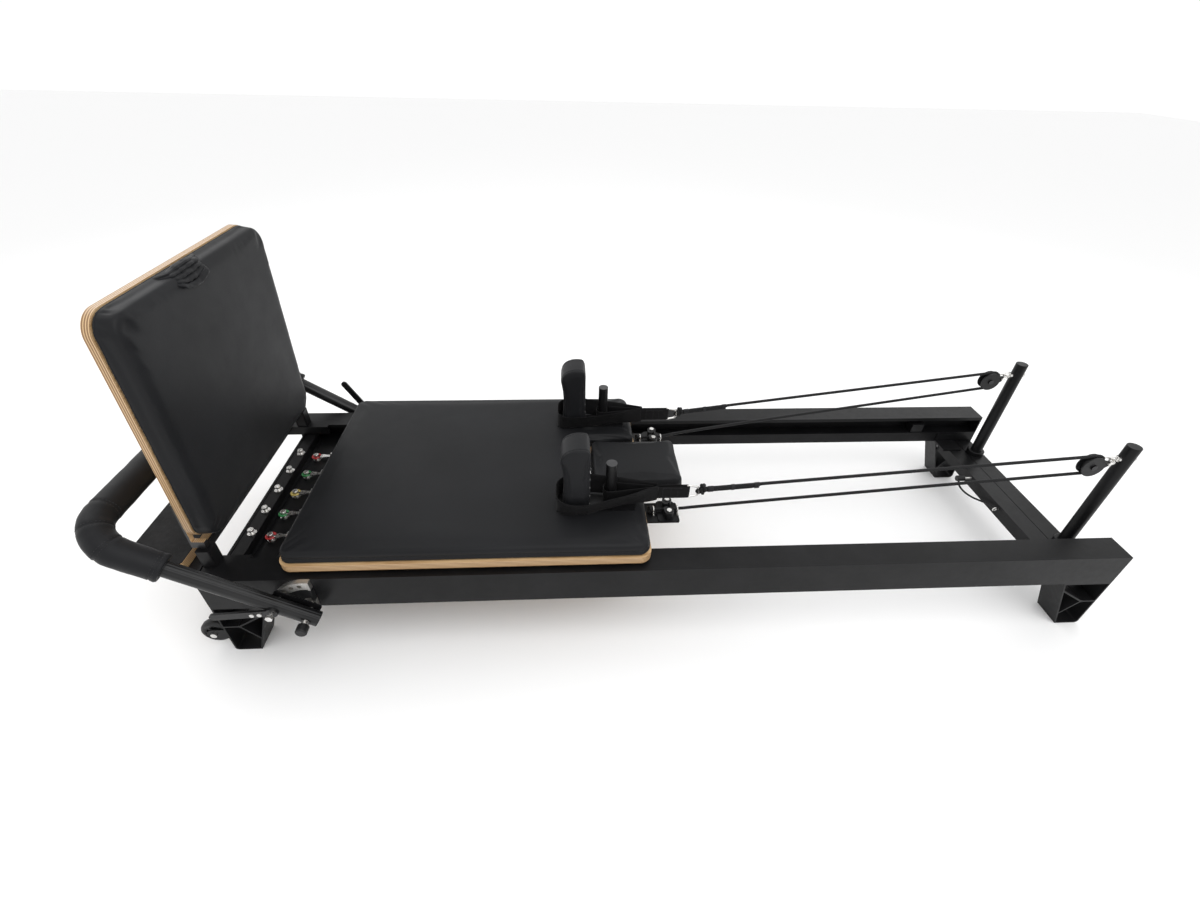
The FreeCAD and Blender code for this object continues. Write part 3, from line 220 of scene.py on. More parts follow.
def brushed_alloy(name="index_plate_alloy"):
    """Silver index plate; a ring of it about the pivot, where the plate's window is, is painted black and not
    metallic: painted shade, as the plate itself is solid.
    """
    s = Shader(name, (0.5, 0.49, 0.47), 0.38, 1.0)
    grain = s.noise(900.0, 3.0, place=s.stretched((1, 1, 0.04)))
    silver = s.ramp(grain, [(0.3, (0.44, 0.43, 0.41)), (0.7, (0.74, 0.72, 0.69))])
    # painted shade: near-black colour, not metallic, in the ring of the window about the pivot
    shaded_window = s.within(PIVOT.x, PIVOT.z, WINDOW_OUTER, WINDOW_INNER)
    s.coloured(s.mix(shaded_window, silver, (0.006, 0.006, 0.0065)))
    s.link(s.scaled(shaded_window, 1.0, 0.0), s.shader.inputs["Metallic"])
    s.roughened(s.noise(35.0, 4.0), 0.28, 0.5)
    s.bumped(grain, 0.00006, 0.6)
    return s.material


def moulded_plastic(name="black_plastic", colour=BLACK, roughness=0.42):
    s = Shader(name, colour, roughness, Specular_IOR_Level=0.3)
    s.coloured(s.ramp(s.noise(30.0, 4.0), [(0.4, colour), (0.8, tuple(c * 1.8 for c in colour))]))
    s.roughened(s.noise(120.0, 4.0), roughness - 0.1, roughness + 0.12)
    s.bumped(s.cells(1500.0), 0.00008, 0.35)
    return s.material


def birch_ply(name, turn=(0, 0, 0), along="X", thickness_axis="Z", blackened=()):
    """Plywood: long grain on the faces and layers on the edges; fittings beyond some planes are black."""
    s = Shader(name, (0.55, 0.38, 0.2), 0.42, Coat_Weight=0.25, Coat_Roughness=0.25)
    stretch = {"X": (2.0, 26.0, 26.0), "Y": (26.0, 2.0, 26.0)}[along]
    grain = s.noise(5.0, 7.0, place=s.stretched(stretch, turn), rough=0.62)
    fibres = s.noise(40.0, 4.0, place=s.stretched(stretch, turn))
    tan, deep, pale = (0.60, 0.395, 0.20), (0.36, 0.205, 0.088), (0.70, 0.50, 0.28)
    face = s.ramp(grain, [(0.3, deep), (0.5, tan), (0.7, pale)])
    face = s.mix(s.scaled(fibres, 0.0, 0.35), face, deep)
    split = s.split(s.stretched((1, 1, 1), turn))
    depth = split[thickness_axis]
    wobble = s.maths("MULTIPLY", s.noise(30.0, 3.0), 0.0011)
    layer = s.maths("SINE", s.maths("MULTIPLY", s.maths("ADD", depth, wobble), 2 * math.pi / 0.0046))
    layers = s.ramp(s.scaled(layer, 0.0, 1.0), [(0.22, (0.20, 0.11, 0.048)), (0.42, tan), (0.8, pale)])
    pores = s.noise(220.0, 4.0, place=s.stretched((6.0, 6.0, 1.0), turn))
    layers = s.mix(s.scaled(pores, 0.0, 0.45), layers, deep)
    facing = s.node("ShaderNodeNewGeometry")
    turned = s.node("ShaderNodeMapping", vector_type="NORMAL")
    turned.inputs["Rotation"].default_value = turn
    s.link(facing.outputs["True Normal"], turned.inputs["Vector"])
    normal = s.split(turned.outputs["Vector"])
    is_face = s.maths("GREATER_THAN", s.maths("ABSOLUTE", normal[thickness_axis]), 0.7)
    tone = s.mix(is_face, layers, face)
    for axis, limit in blackened:
        tone = s.mix(s.maths("LESS_THAN", split[axis], limit), tone, BLACK)
    s.coloured(tone)
    s.roughened(grain, 0.34, 0.55)
    s.bumped(fibres, 0.00015, 0.5)
    s.bumped(layer, 0.00012, 0.4)
    return s.material


def leather(name="black_leather", colour=(0.0088, 0.0091, 0.0103), cell=620.0, roughness=0.47):
    """Soft black upholstery leather: fine pebble grain, creases and a dull sheen."""
    s = Shader(name, colour, roughness, Specular_IOR_Level=0.15, Sheen_Weight=0.02, Sheen_Roughness=0.5)
    pebble = s.cells(cell, feature="SMOOTH_F1")
    fine = s.cells(cell * 2.3)
    creases = s.noise(16.0, 6.0, rough=0.6)
    lighter = tuple(c * 1.45 for c in colour)
    darker = tuple(c * 0.7 for c in colour)
    tone = s.ramp(s.noise(4.0, 5.0), [(0.3, darker), (0.5, colour), (0.75, lighter)])
    s.coloured(s.mix(s.scaled(pebble, 0.35, 0.0), tone, darker))
    s.roughened(creases, roughness - 0.1, roughness + 0.13)
    s.bumped(pebble, 0.00035, 0.45)
    s.bumped(fine, 0.00012, 0.3)
    s.bumped(creases, 0.0012, 0.12)
    return s.material


def webbing(name="webbing"):
    """Nylon webbing seen flat: fine ribs across the strap and a woven edge."""
    s = Shader(name, (0.006, 0.006, 0.0065), 0.7, Specular_IOR_Level=0.15, Sheen_Weight=0.04,
               Sheen_Roughness=0.4)
    rows = s.wave(190.0, "Z", 0.6)
    weft = s.wave(230.0, "X", 0.6)
    weave = s.maths("MULTIPLY", rows, weft)
    fuzz = s.noise(420.0, 4.0)
    s.coloured(s.ramp(s.maths("ADD", weave, s.maths("MULTIPLY", fuzz, 0.4)),
                      [(0.15, (0.002, 0.002, 0.0022)), (0.9, (0.011, 0.0105, 0.0115))]))
    s.roughened(fuzz, 0.5, 0.75)
    s.bumped(weave, 0.0005, 0.6)
    s.bumped(fuzz, 0.0003, 0.3)
    return s.material


def braid(name="rope_braid"):
    """Braided rope: crossing strands placed by the way the surface faces round the rope."""
    s = Shader(name, (0.006, 0.006, 0.0065), 0.6, Specular_IOR_Level=0.2, Sheen_Weight=0.04,
               Sheen_Roughness=0.4)
    facing = s.node("ShaderNodeNewGeometry")
    round_rope = s.split(facing.outputs["Normal"])
    angle = s.maths("ARCTAN2", round_rope["Z"], round_rope["Y"])
    run = s.maths("MULTIPLY", s.split()["X"], 900.0)
    strands = []
    for hand in (-4.0, 4.0):
        turn = s.maths("ADD", run, s.maths("MULTIPLY", angle, hand))
        strands.append(s.scaled(s.maths("SINE", turn), 0.0, 1.0))
    plait = s.maths("MAXIMUM", strands[0], strands[1])
    fleck = s.noise(700.0, 3.0)
    s.coloured(s.ramp(s.maths("ADD", plait, s.maths("MULTIPLY", fleck, 0.25)),
                      [(0.25, (0.0018, 0.0018, 0.002)), (1.0, (0.012, 0.012, 0.013))]))
    s.roughened(fleck, 0.45, 0.7)
    s.bumped(plait, 0.0007, 0.8)
    return s.material


def grip_sheet(name="deck_grip"):
    """Textured non-slip rubber sheet."""
    s = Shader(name, (0.009, 0.009, 0.0095), 0.7, Specular_IOR_Level=0.2)
    dimples = s.cells(260.0)
    s.coloured(s.ramp(s.noise(20.0, 5.0), [(0.35, (0.006, 0.006, 0.0065)), (0.75, (0.014, 0.014, 0.015))]))
    s.roughened(s.noise(90.0, 3.0), 0.58, 0.82)
    s.bumped(dimples, 0.0008, 0.5)
    return s.material


def enamel(name, colour):
    s = Shader(name, colour, 0.3, Coat_Weight=0.4, Coat_Roughness=0.15)
    s.coloured(s.ramp(s.noise(120.0, 4.0), [(0.3, tuple(c * 0.7 for c in colour)), (0.65, colour)]))
    s.roughened(s.noise(300.0, 3.0), 0.22, 0.45)
    s.bumped(s.noise(600.0, 2.0), 0.0001, 0.4)
    return s.material


def urethane(name="roller_urethane", colour=(0.02, 0.02, 0.022)):
    s = Shader(name, colour, 0.4, Specular_IOR_Level=0.35)
    s.coloured(s.ramp(s.noise(80.0, 4.0), [(0.35, tuple(c * 0.6 for c in colour)), (0.7, colour)]))
    s.roughened(s.noise(200.0, 4.0), 0.3, 0.6)
    s.bumped(s.noise(800.0, 3.0), 0.0001, 0.5)
    return s.material


def two_tone(name, low, high, axis, edge, low_metal=0.0, high_metal=0.0):
    """One material for a piece that changes colour at a plane, such as a knob on a pin."""
    s = Shader(name, low, 0.35, Specular_IOR_Level=0.35)
    above = s.maths("GREATER_THAN", s.split()[axis], edge)
    blotch = s.noise(90.0, 4.0)
    dark = s.ramp(blotch, [(0.3, tuple(c * 0.7 for c in low)), (0.7, low)])
    light = s.ramp(blotch, [(0.3, tuple(c * 0.7 for c in high)), (0.7, high)])
    s.coloured(s.mix(above, dark, light))
    s.link(s.scaled(above, low_metal, high_metal), s.shader.inputs["Metallic"])
    s.roughened(s.noise(300.0, 3.0), 0.25, 0.48)
    s.bumped(s.noise(900.0, 2.0), 0.0001, 0.4)
    return s.material


def ridged_tube(name):
    """Black anodised tube with drawn ridges along it."""
    s = Shader(name, BLACK, 0.34, Specular_IOR_Level=0.35)
    ridges = s.wave(46.0, "Y", 0.0)
    s.coloured(s.ramp(s.noise(12.0, 5.0), [(0.4, (0.0045, 0.0045, 0.005)), (0.75, (0.009, 0.009, 0.0095))]))
    s.roughened(s.noise(90.0, 4.0), 0.26, 0.46)
    s.bumped(ridges, 0.0014, 0.7)
    s.bumped(s.noise(900.0, 2.0), 0.0001, 0.4)
    return s.material


def pulley_steel(name):
    """Bright shackle and eye bolt; the axle's heads are dark."""
    s = Shader(name, STEEL, 0.22, 1.0)
    axle = s.within(AXLE_X, AXLE_Z, AXLE_HEAD)
    smears = s.noise(60.0, 4.0)
    bright = s.ramp(smears, [(0.3, (0.66, 0.65, 0.63)), (0.7, (0.84, 0.83, 0.81))])
    s.coloured(s.mix(axle, bright, (0.05, 0.05, 0.052)))
    s.roughened(smears, 0.14, 0.34)
    s.bumped(s.noise(700.0, 2.0), 0.00005, 0.4)
    return s.material


def jump_planes():
    """Planes of the jump board's turned coordinates: behind its back face, and below its foot."""
    foot = Matrix.Rotation(-JUMP_TILT, 3, "Y") @ JUMP_FOOT
    return (("X", foot.x - 0.0004), ("Z", foot.z - 0.0004))


M = {
    "frame": powder_coat("frame_powder_coat"),
    "block": pulley_steel("pulley_steel"),
    "foot": powder_coat("foot_powder_coat", (0.0055, 0.0055, 0.006), 0.42),
    "tube": ridged_tube("footbar_anodised"),
    "steel": polished_steel(),
    "alloy": brushed_alloy(),
    "plastic": moulded_plastic(),
    "ply": birch_ply("birch_ply"),
    "head_ply": birch_ply("birch_ply_headrest", blackened=(("X", -0.1290),)),
    "jump_ply": birch_ply("birch_ply_upright", (0, -JUMP_TILT, 0), "Y", "X", jump_planes()),
    "leather": leather(),
    # painted highlight: the piping's colour is lighter than the leather's to stand in for the highlights along
    # the seams
    "piping": leather("leather_piping_painted_highlight", (0.012, 0.0122, 0.0135), 1400.0, 0.36),
    "thread": moulded_plastic("black_thread", (0.015, 0.015, 0.0165), 0.6),
    "tack": moulded_plastic("grey_tack", (0.16, 0.16, 0.16), 0.4),
    "webbing": webbing(),
    "braid": braid(),
    "grip": grip_sheet(),
    "red": enamel("spring_red", (0.42, 0.018, 0.02)),
    "green": enamel("spring_green", (0.025, 0.22, 0.06)),
    "yellow": enamel("spring_yellow", (0.52, 0.40, 0.10)),
    "urethane": urethane(),
    "tyre": urethane("wheel_tyre", (0.010, 0.010, 0.011)),
}


# ---------------------------------------------------------------- mesh helpers
def placed(name, data):
    made = bpy.data.objects.new(name, data)
    bpy.context.scene.collection.objects.link(made)
    return made


def add_mesh(name, vertices, faces, material, smooth=True):
    mesh = bpy.data.meshes.new(name)
    mesh.from_pydata([tuple(v) for v in vertices], [], faces)
    mesh.update()
    for polygon in mesh.polygons:
        polygon.use_smooth = smooth
    mesh.materials.append(material)
    return placed(name, mesh)


def join_parts(parts):
    """Several (vertices, faces) lists as one."""
    vertices, faces = [], []
    for part_vertices, part_faces in parts:
        base = len(vertices)
        vertices += list(part_vertices)
        faces += [tuple(base + i for i in face) for face in part_faces]
    return vertices, faces


def joined(name, parts, look):
    """Several (vertices, faces) lists as one smooth piece."""
    return add_mesh(name, *join_parts(parts), M[look])


def rounded(points, radii, step=0.006, closed=False):
    """Points along straight runs joined by tangent arcs."""
    count = len(points)
    points = [Vector(p) for p in points]
    route = [] if closed else [points[0]]
    inner = range(count) if closed else range(1, count - 1)
    for k in inner:
        before, corner, after = points[k - 1], points[k], points[(k + 1) % count]
        radius = radii if isinstance(radii, float) else radii[k if closed else k - 1]
        back, onward = (before - corner).normalized(), (after - corner).normalized()
        turn = math.pi - back.angle(onward)
        if turn < 1e-4:
            route.append(corner)
            continue
        shorter = min((before - corner).length, (after - corner).length)
        reach = min(radius * math.tan(turn / 2), 0.49 * shorter)
        radius = reach / math.tan(turn / 2)
        centre = corner + (back + onward).normalized() * (radius / math.cos(turn / 2))
        first, last = corner + back * reach - centre, corner + onward * reach - centre
        pieces = max(2, int(radius * turn / step))
        for i in range(pieces + 1):
            route.append(centre + first.normalized().slerp(last.normalized(), i / pieces) * first.length)
    if not closed:
        route.append(points[-1])
    return even(route, step, closed)


def even(route, step, closed=False):
    """The same line with points at even spacing."""
    line = np.array([tuple(p) for p in (route + route[:1] if closed else route)])
    lengths = np.concatenate([[0.0], np.cumsum(np.linalg.norm(np.diff(line, axis=0), axis=1))])
    pieces = max(3, round(lengths[-1] / step))
    at = np.linspace(0.0, lengths[-1], pieces + 1)[: pieces if closed else pieces + 1]
    return [Vector(tuple(np.interp(a, lengths, line[:, i]) for i in range(3))) for a in at]


def frames_along(path, closed=False, up=None):
    """The place, side, top and heading at each point, turning as little as it can."""
    count = len(path)
    result = []
    side = None
    for k, place in enumerate(path):
        before = path[k - 1] if closed or k else place
        after = path[(k + 1) % count] if closed or k < count - 1 else place
        heading = (after - before).normalized()
        if up is not None:
            side = heading.cross(up).normalized()
        elif side is None:
            other = Z_AXIS if abs(heading.z) < 0.9 else X_AXIS
            side = heading.cross(other).normalized()
        else:
            side = (side - heading * side.dot(heading)).normalized()
        result.append((place, side, side.cross(heading).normalized(), heading))
    return result


def tube(path, radius, segments=12, closed=False, up=None, dome=False):
    """Round tube; radius is a number or a function of (index, angle)."""
    vertices, faces = [], []
    rings = frames_along(path, closed, up)
    for k, (place, side, top, heading) in enumerate(rings):
        for j in range(segments):
            angle = 2 * math.pi * j / segments
            r = radius(k, angle) if callable(radius) else radius
            vertices.append(place + (side * math.cos(angle) + top * math.sin(angle)) * r)
    count = len(path)
    for k in range(count if closed else count - 1):
        for j in range(segments):
            a, b = k * segments + j, k * segments + (j + 1) % segments
            c, d = ((k + 1) % count) * segments + (j + 1) % segments, ((k + 1) % count) * segments + j
            faces.append((a, b, c, d))
    if not closed:
        last = (count - 1) * segments
        for first, place, heading in ((0, rings[0][0], -rings[0][3]), (last, rings[-1][0], rings[-1][3])):
            size = (Vector(vertices[first]) - place).length
            tip = len(vertices)
            vertices.append(place + heading * (size * 0.6 if dome else 0.0))
            for j in range(segments):
                pair = (first + j, first + (j + 1) % segments)
                faces.append((*reversed(pair), tip) if first == 0 else (*pair, tip))
    return vertices, faces


def lathe(profile, centre, axis, segments=48):
    """Closed surface of revolution; the profile is (radius, distance along axis) and closes on itself."""
    axis = Vector(axis).normalized()
    side = axis.orthogonal().normalized()
    top = axis.cross(side)
    vertices, faces = [], []
    for k in range(segments):
        angle = 2 * math.pi * k / segments
        out = side * math.cos(angle) + top * math.sin(angle)
        vertices += [Vector(centre) + out * r + axis * h for r, h in profile]
    count = len(profile)
    for k in range(segments):
        for j in range(count):
            a, b = k * count + j, k * count + (j + 1) % count
            shift = ((k + 1) % segments) * count
            faces.append((a, b, shift + (j + 1) % count, shift + j))
    return vertices, faces


def band(path, height, thickness, closed=False, wave=0.0, seed=0, rows=8, lean=None):
    """Webbing on edge along a level path, with a soft edge, a slight waver and a lean given by position."""
    vertices, faces = [], []
    section = []
    for j in range(rows + 1):
        section.append((thickness / 2, -height / 2 + height * j / rows))
    for j in range(rows + 1):
        section.append((-thickness / 2, height / 2 - height * j / rows))
    for k, (place, side, top, heading) in enumerate(frames_along(path, closed, Z_AXIS)):
        for out, rise in section:
            edge = abs(rise) / (height / 2)
            pinch = 0.55 if edge > 0.99 else 1.0
            at = Vector((place.x * 9, place.y * 9, rise * 18 + seed))
            sway = wave * (noise.noise(at) + 0.6 * noise.noise(at * 2.7))
            tilt = lean(place) if lean else 0.0
            across = side * (out * pinch + sway - rise * math.sin(tilt))
            lift = rise * math.cos(tilt) + 0.35 * wave * noise.noise(at * 0.7)
            vertices.append(place + across + Z_AXIS * lift)
    count, around = len(path), len(section)
    for k in range(count if closed else count - 1):
        for j in range(around):
            a, b = k * around + j, k * around + (j + 1) % around
            shift = ((k + 1) % count) * around
            faces.append((a, shift + j, shift + (j + 1) % around, b))
    if not closed:
        faces.append(tuple(range(around)))
        faces.append(tuple(reversed(range((count - 1) * around, count * around))))
    return vertices, faces


def stitches(path, length=0.0045, gap=0.0022, radius=0.0006, closed=False):
    """Short capsules of thread along a line."""
    line = even([Vector(p) for p in path], 0.0015, closed)
    run = [0.0]
    for a, b in zip(line, line[1:]):
        run.append(run[-1] + (b - a).length)
    parts = []
    start = 0.0
    while start + length < run[-1]:
        inside = [p for p, s in zip(line, run) if start <= s <= start + length]
        if len(inside) > 1:
            parts.append(tube(inside, radius, 5, dome=True))
        start += length + gap
    return join_parts(parts)


def finished(made, body, slot, *replaced):
    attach(made, body)
    if replaced:
        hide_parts(*replaced)
    return made


def baked_mesh(made):
    """Replace the object's mesh by what its modifiers give, and drop the modifiers."""
    bpy.context.view_layer.update()
    evaluated = made.evaluated_get(bpy.context.evaluated_depsgraph_get())
    mesh = bpy.data.meshes.new_from_object(evaluated)
    made.modifiers.clear()
    made.data = mesh
    return made


def soften_edges(made):
    subdivision = made.modifiers.new("subdivision", "SUBSURF")
    subdivision.levels = subdivision.render_levels = 1
    return baked_mesh(made)


def section_loops(made, point, normal):
    """Closed loops where a plane cuts a mesh, as lists of points."""
    cut = bmesh.new()
    cut.from_mesh(made.data)
    result = bmesh.ops.bisect_plane(cut, geom=cut.verts[:] + cut.edges[:] + cut.faces[:], dist=1e-6,
                                    plane_co=point, plane_no=normal)
    edges = [e for e in result["geom_cut"] if isinstance(e, bmesh.types.BMEdge)]
    beside = {}
    for edge in edges:
        for v in edge.verts:
            beside.setdefault(v, []).append(edge.other_vert(v))
    loops, seen = [], set()
    for start in sorted(beside, key=lambda v: tuple(round(c, 6) for c in v.co)):
        if start in seen:
            continue
        loop, here = [start], start
        seen.add(start)
        while True:
            onward = [v for v in beside[here] if v not in seen]
            if not onward:
                break
            here = onward[0]
            seen.add(here)
            loop.append(here)
        loops.append([v.co.copy() for v in loop])
    cut.free()
    return [loop for loop in loops if len(loop) > 12]


def smoothed(loop, rounds=6):
    for turn in range(rounds):
        loop = [(loop[k - 1] + loop[k] * 2 + loop[(k + 1) % len(loop)]) / 4 for k in range(len(loop))]
    return loop


def crease(made, point, normal, depth, width):
    """Pull the surface in along a plane's cut, as a seam does."""
    point, normal = np.array(point), np.array(Vector(normal).normalized())
    mesh = made.data
    co = np.zeros(len(mesh.vertices) * 3)
    no = np.zeros(len(mesh.vertices) * 3)
    mesh.vertices.foreach_get("co", co)
    mesh.vertex_normals.foreach_get("vector", no)
    co, no = co.reshape(-1, 3), no.reshape(-1, 3)
    gap = (co - point) @ normal
    pull = depth * np.exp(-(gap / width) ** 2) * (1 - (no @ normal) ** 2)
    mesh.vertices.foreach_set("co", (co - no * pull[:, None]).ravel())
    mesh.update()


def cushion(node, name, shrink, voxel, cap, base_point, base_normal, pressure=4.0):
    """A padded piece from a CAD solid: remeshed, swollen by a cloth simulation and held where it rests."""
    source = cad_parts[node]
    mesh = source.data.copy()
    mesh.materials.clear()
    mesh.materials.append(M["leather"])
    made = placed(name, mesh)
    low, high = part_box(node)
    middle = (low + high) / 2
    size = high - low
    factor = Vector([1 - 2 * shrink / s for s in size])
    normal = Vector(base_normal).normalized()
    for v in mesh.vertices:
        offset = v.co - middle
        along = offset.dot(normal)
        small = Vector([offset[i] * factor[i] for i in range(3)])
        v.co = middle + small + normal * (along - small.dot(normal)) * 0.5
    remesh = made.modifiers.new("remesh", "REMESH")
    remesh.mode = "VOXEL"
    remesh.voxel_size = voxel
    remesh.use_smooth_shade = True
    baked_mesh(made)
    made.data.materials.clear()
    made.data.materials.append(M["leather"])
    swell(made, cap, Vector(base_point), normal, pressure, voxel)
    soften_edges(made)
    for polygon in made.data.polygons:
        polygon.use_smooth = True
    return made


def swell(made, cap, base_point, normal, pressure, voxel):
    """Cloth under inside pressure, frames 1 to 20, with the resting face pinned and each move capped."""
    scene = bpy.context.scene
    rest = np.array([v.co for v in made.data.vertices])
    height = (rest - np.array(base_point)) @ np.array(normal)
    pinned = made.vertex_groups.new(name="resting")
    pinned.add([int(i) for i in np.flatnonzero(height < voxel)], 1.0, "REPLACE")
    cloth = made.modifiers.new("cloth", "CLOTH")
    cloth.settings.quality = 4
    cloth.settings.use_pressure = True
    cloth.settings.uniform_pressure_force = pressure
    cloth.settings.vertex_group_mass = "resting"
    cloth.settings.effector_weights.gravity = 0.0
    cloth.settings.tension_stiffness = 20
    cloth.settings.compression_stiffness = 20
    cloth.settings.bending_stiffness = 2.0
    cloth.point_cache.frame_start, cloth.point_cache.frame_end = 1, 20
    for step in range(1, 21):
        scene.frame_set(step)
    bpy.context.view_layer.update()
    evaluated = made.evaluated_get(bpy.context.evaluated_depsgraph_get())
    moved = np.array([v.co for v in evaluated.data.vertices]) - rest
    size = np.linalg.norm(moved, axis=1, keepdims=True)
    moved *= np.minimum(1.0, cap / np.maximum(size, 1e-9))
    made.modifiers.remove(cloth)
    scene.frame_set(1)
    made.vertex_groups.clear()
    made.data.vertices.foreach_set("co", (rest + moved).ravel())
    made.data.update()


def piping(made, name, point, normal, radius, body, slot):
    """Thin welt along a plane's cut of a cushion."""
    parts = []
    for loop in section_loops(made, point, normal):
        parts.append(tube(even(smoothed(loop), 0.005, True), radius, 6, closed=True))
    # the piping material's lighter colour is a painted highlight along the seam
    return finished(joined(name, parts, "piping"), body, slot)


# ---------------------------------------------------------------- CAD nodes keep their shapes
def dress_cad():
    looks = {
        "frame": "rail_near rail_far head_crossbar risers spring_park_bar spring_hook_bar end_brackets"
                 " undercarriage arm_plates cleat_plates",
        "foot": "feet_head_end feet_foot_end",
        "tube": "footbar_tube",
        "steel": "frame_bolts hook_posts plunger_near plunger_far d_rings cleat_hardware"
                 " headrest_hinge headrest_prop",
        "block": "pulley_hardware",
        "alloy": "quadrants",
        "plastic": "travel_stops pulley_cheeks pivot_knobs sheave_near sheave_far cam_near_inner cam_near_outer"
                   " cam_far_inner cam_far_outer",
        "ply": "carriage_board",
        "head_ply": "headrest_board",
        "jump_ply": "jump_board",
        "urethane": "roller_near_foot roller_near_head roller_far_foot roller_far_head",
    }
    for look, names in looks.items():
        for name in names.split():
            repaint(name, M[look])
    peg_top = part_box("rest_base_near")[1].z - 0.0015
    peg = two_tone("peg_black_grey", BLACK, (0.05, 0.05, 0.052), "Z", peg_top)
    for name, side in SIDES:
        repaint("rest_base_" + name, peg)
    near_face, far_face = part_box("lever_near")[0].y + 0.0029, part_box("lever_far")[1].y - 0.0029
    repaint("lever_near", two_tone("lever_near_black", STEEL, BLACK, "Y", near_face, 1.0, 0.0))
    repaint("lever_far", two_tone("lever_far_black", BLACK, STEEL, "Y", far_face, 0.0, 1.0))
    knob_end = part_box("lock_pin")[0].x + 0.026
    repaint("lock_pin", two_tone("lock_pin_steel_and_black", BLACK, STEEL, "X", knob_end, 0.0, 1.0))


def repaint(name, material):
    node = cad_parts[name]
    node.data.materials.clear()
    node.data.materials.append(material)


# ---------------------------------------------------------------- upholstery
def carriage_pad():
    low, high = PAD_BOX
    pad = cushion("carriage_pad", "carriage_cushion", 0.003, 0.006, 0.004, low, Z_AXIS)
    crease(pad, (0, 0, SEAM_HEIGHT), Z_AXIS, 0.0022, 0.0035)
    finished(pad, "carriage", "black_leather", "carriage_pad")
    piping(pad, "carriage_cushion_welt", (0, 0, SEAM_HEIGHT), Z_AXIS, 0.0011, "carriage", "black_leather")
    tape = slab("notch_edge_tape", -0.150, -0.1408, -0.104, 0.104, BOARD_BOX[1].z, BOARD_BOX[1].z + 0.0014,
                0.0004, M["leather"], 0.001)
    finished(tape, "carriage", "black_leather")


def headrest_pad():
    low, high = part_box("headrest_pad")
    pad = cushion("headrest_pad", "headrest_cushion", 0.0025, 0.0045, 0.004, low, Z_AXIS)
    crease(pad, (0, 0, SEAM_HEIGHT), Z_AXIS, 0.0018, 0.003)
    finished(pad, "headrest", "black_leather", "headrest_pad")
    piping(pad, "headrest_cushion_welt", (0, 0, SEAM_HEIGHT), Z_AXIS, 0.0011, "headrest", "black_leather")


def jump_normal():
    return Vector((math.cos(JUMP_TILT), 0, -math.sin(JUMP_TILT)))


def jump_up():
    return Vector((math.sin(JUMP_TILT), 0, math.cos(JUMP_TILT)))


def on_jump(out, across, up):
    """A point given from the jump board's back face: out to the pad, across, and up from its foot."""
    return JUMP_FOOT + jump_normal() * out + Y_AXIS * across + jump_up() * up


def jump_cushion():
    ply_face = on_jump(JUMP_PLY, 0, 0)
    pad = cushion("jump_pad", "jump_cushion", 0.0008, 0.0055, 0.004, ply_face, jump_normal(), 3.0)
    finished(pad, "jump_board", "black_leather", "jump_pad")
    piping(pad, "jump_cushion_welt", on_jump(JUMP_PLY + 0.005, 0, 0), jump_normal(), 0.0010,
           "jump_board", "black_leather")


def shoulder_rests():
    for name, side in SIDES:
        low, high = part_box("rest_pad_" + name)
        pad = cushion("rest_pad_" + name, "shoulder_cushion_" + name, 0.0012, 0.0035, 0.0025,
                      (0, 0, low.z), Z_AXIS, 3.0)
        seams = [(Vector((0, low.y + 0.008, 0)), Y_AXIS), (Vector((0, high.y - 0.008, 0)), Y_AXIS)]
        for point, normal in seams:
            crease(pad, point, normal, 0.0016, 0.0028)
        finished(pad, "carriage", "black_leather", "rest_pad_" + name)
        thread, tacks = [], []
        for k, (point, normal) in enumerate(seams):
            piping(pad, "shoulder_welt_%s_%d" % (name, k), point, normal, 0.0013, "carriage", "black_leather")
            inward = Y_AXIS * (0.0046 if k == 0 else -0.0046)
            for loop in section_loops(pad, point + inward, normal):
                thread.append(stitches(smoothed(loop), closed=True))
            for step in range(5):
                z = low.z + 0.030 + 0.027 * step
                y = point.y - inward.y * 1.2
                x = high.x - 0.0004
                tacks.append(tube([Vector((x, y, z)), Vector((x, y, z + 0.004))], 0.0008, 6, dome=True))
        finished(joined("shoulder_stitches_" + name, thread, "thread"), "carriage", "black_leather")
        finished(joined("shoulder_tacks_" + name, tacks, "tack"), "carriage", "black_leather")


# ---------------------------------------------------------------- footbar sleeve
ARM_ANGLE = math.radians(145)
ARM_Y, ARM_REACH, ARM_CORNER = 0.409, 0.490, 0.105
SLEEVE_START, SLEEVE_RADIUS, SLEEVE_BORE = 0.322, 0.0332, 0.0192


def arm_point(distance, across):
    return PIVOT + Vector((math.cos(ARM_ANGLE), 0, math.sin(ARM_ANGLE))) * distance + Y_AXIS * across


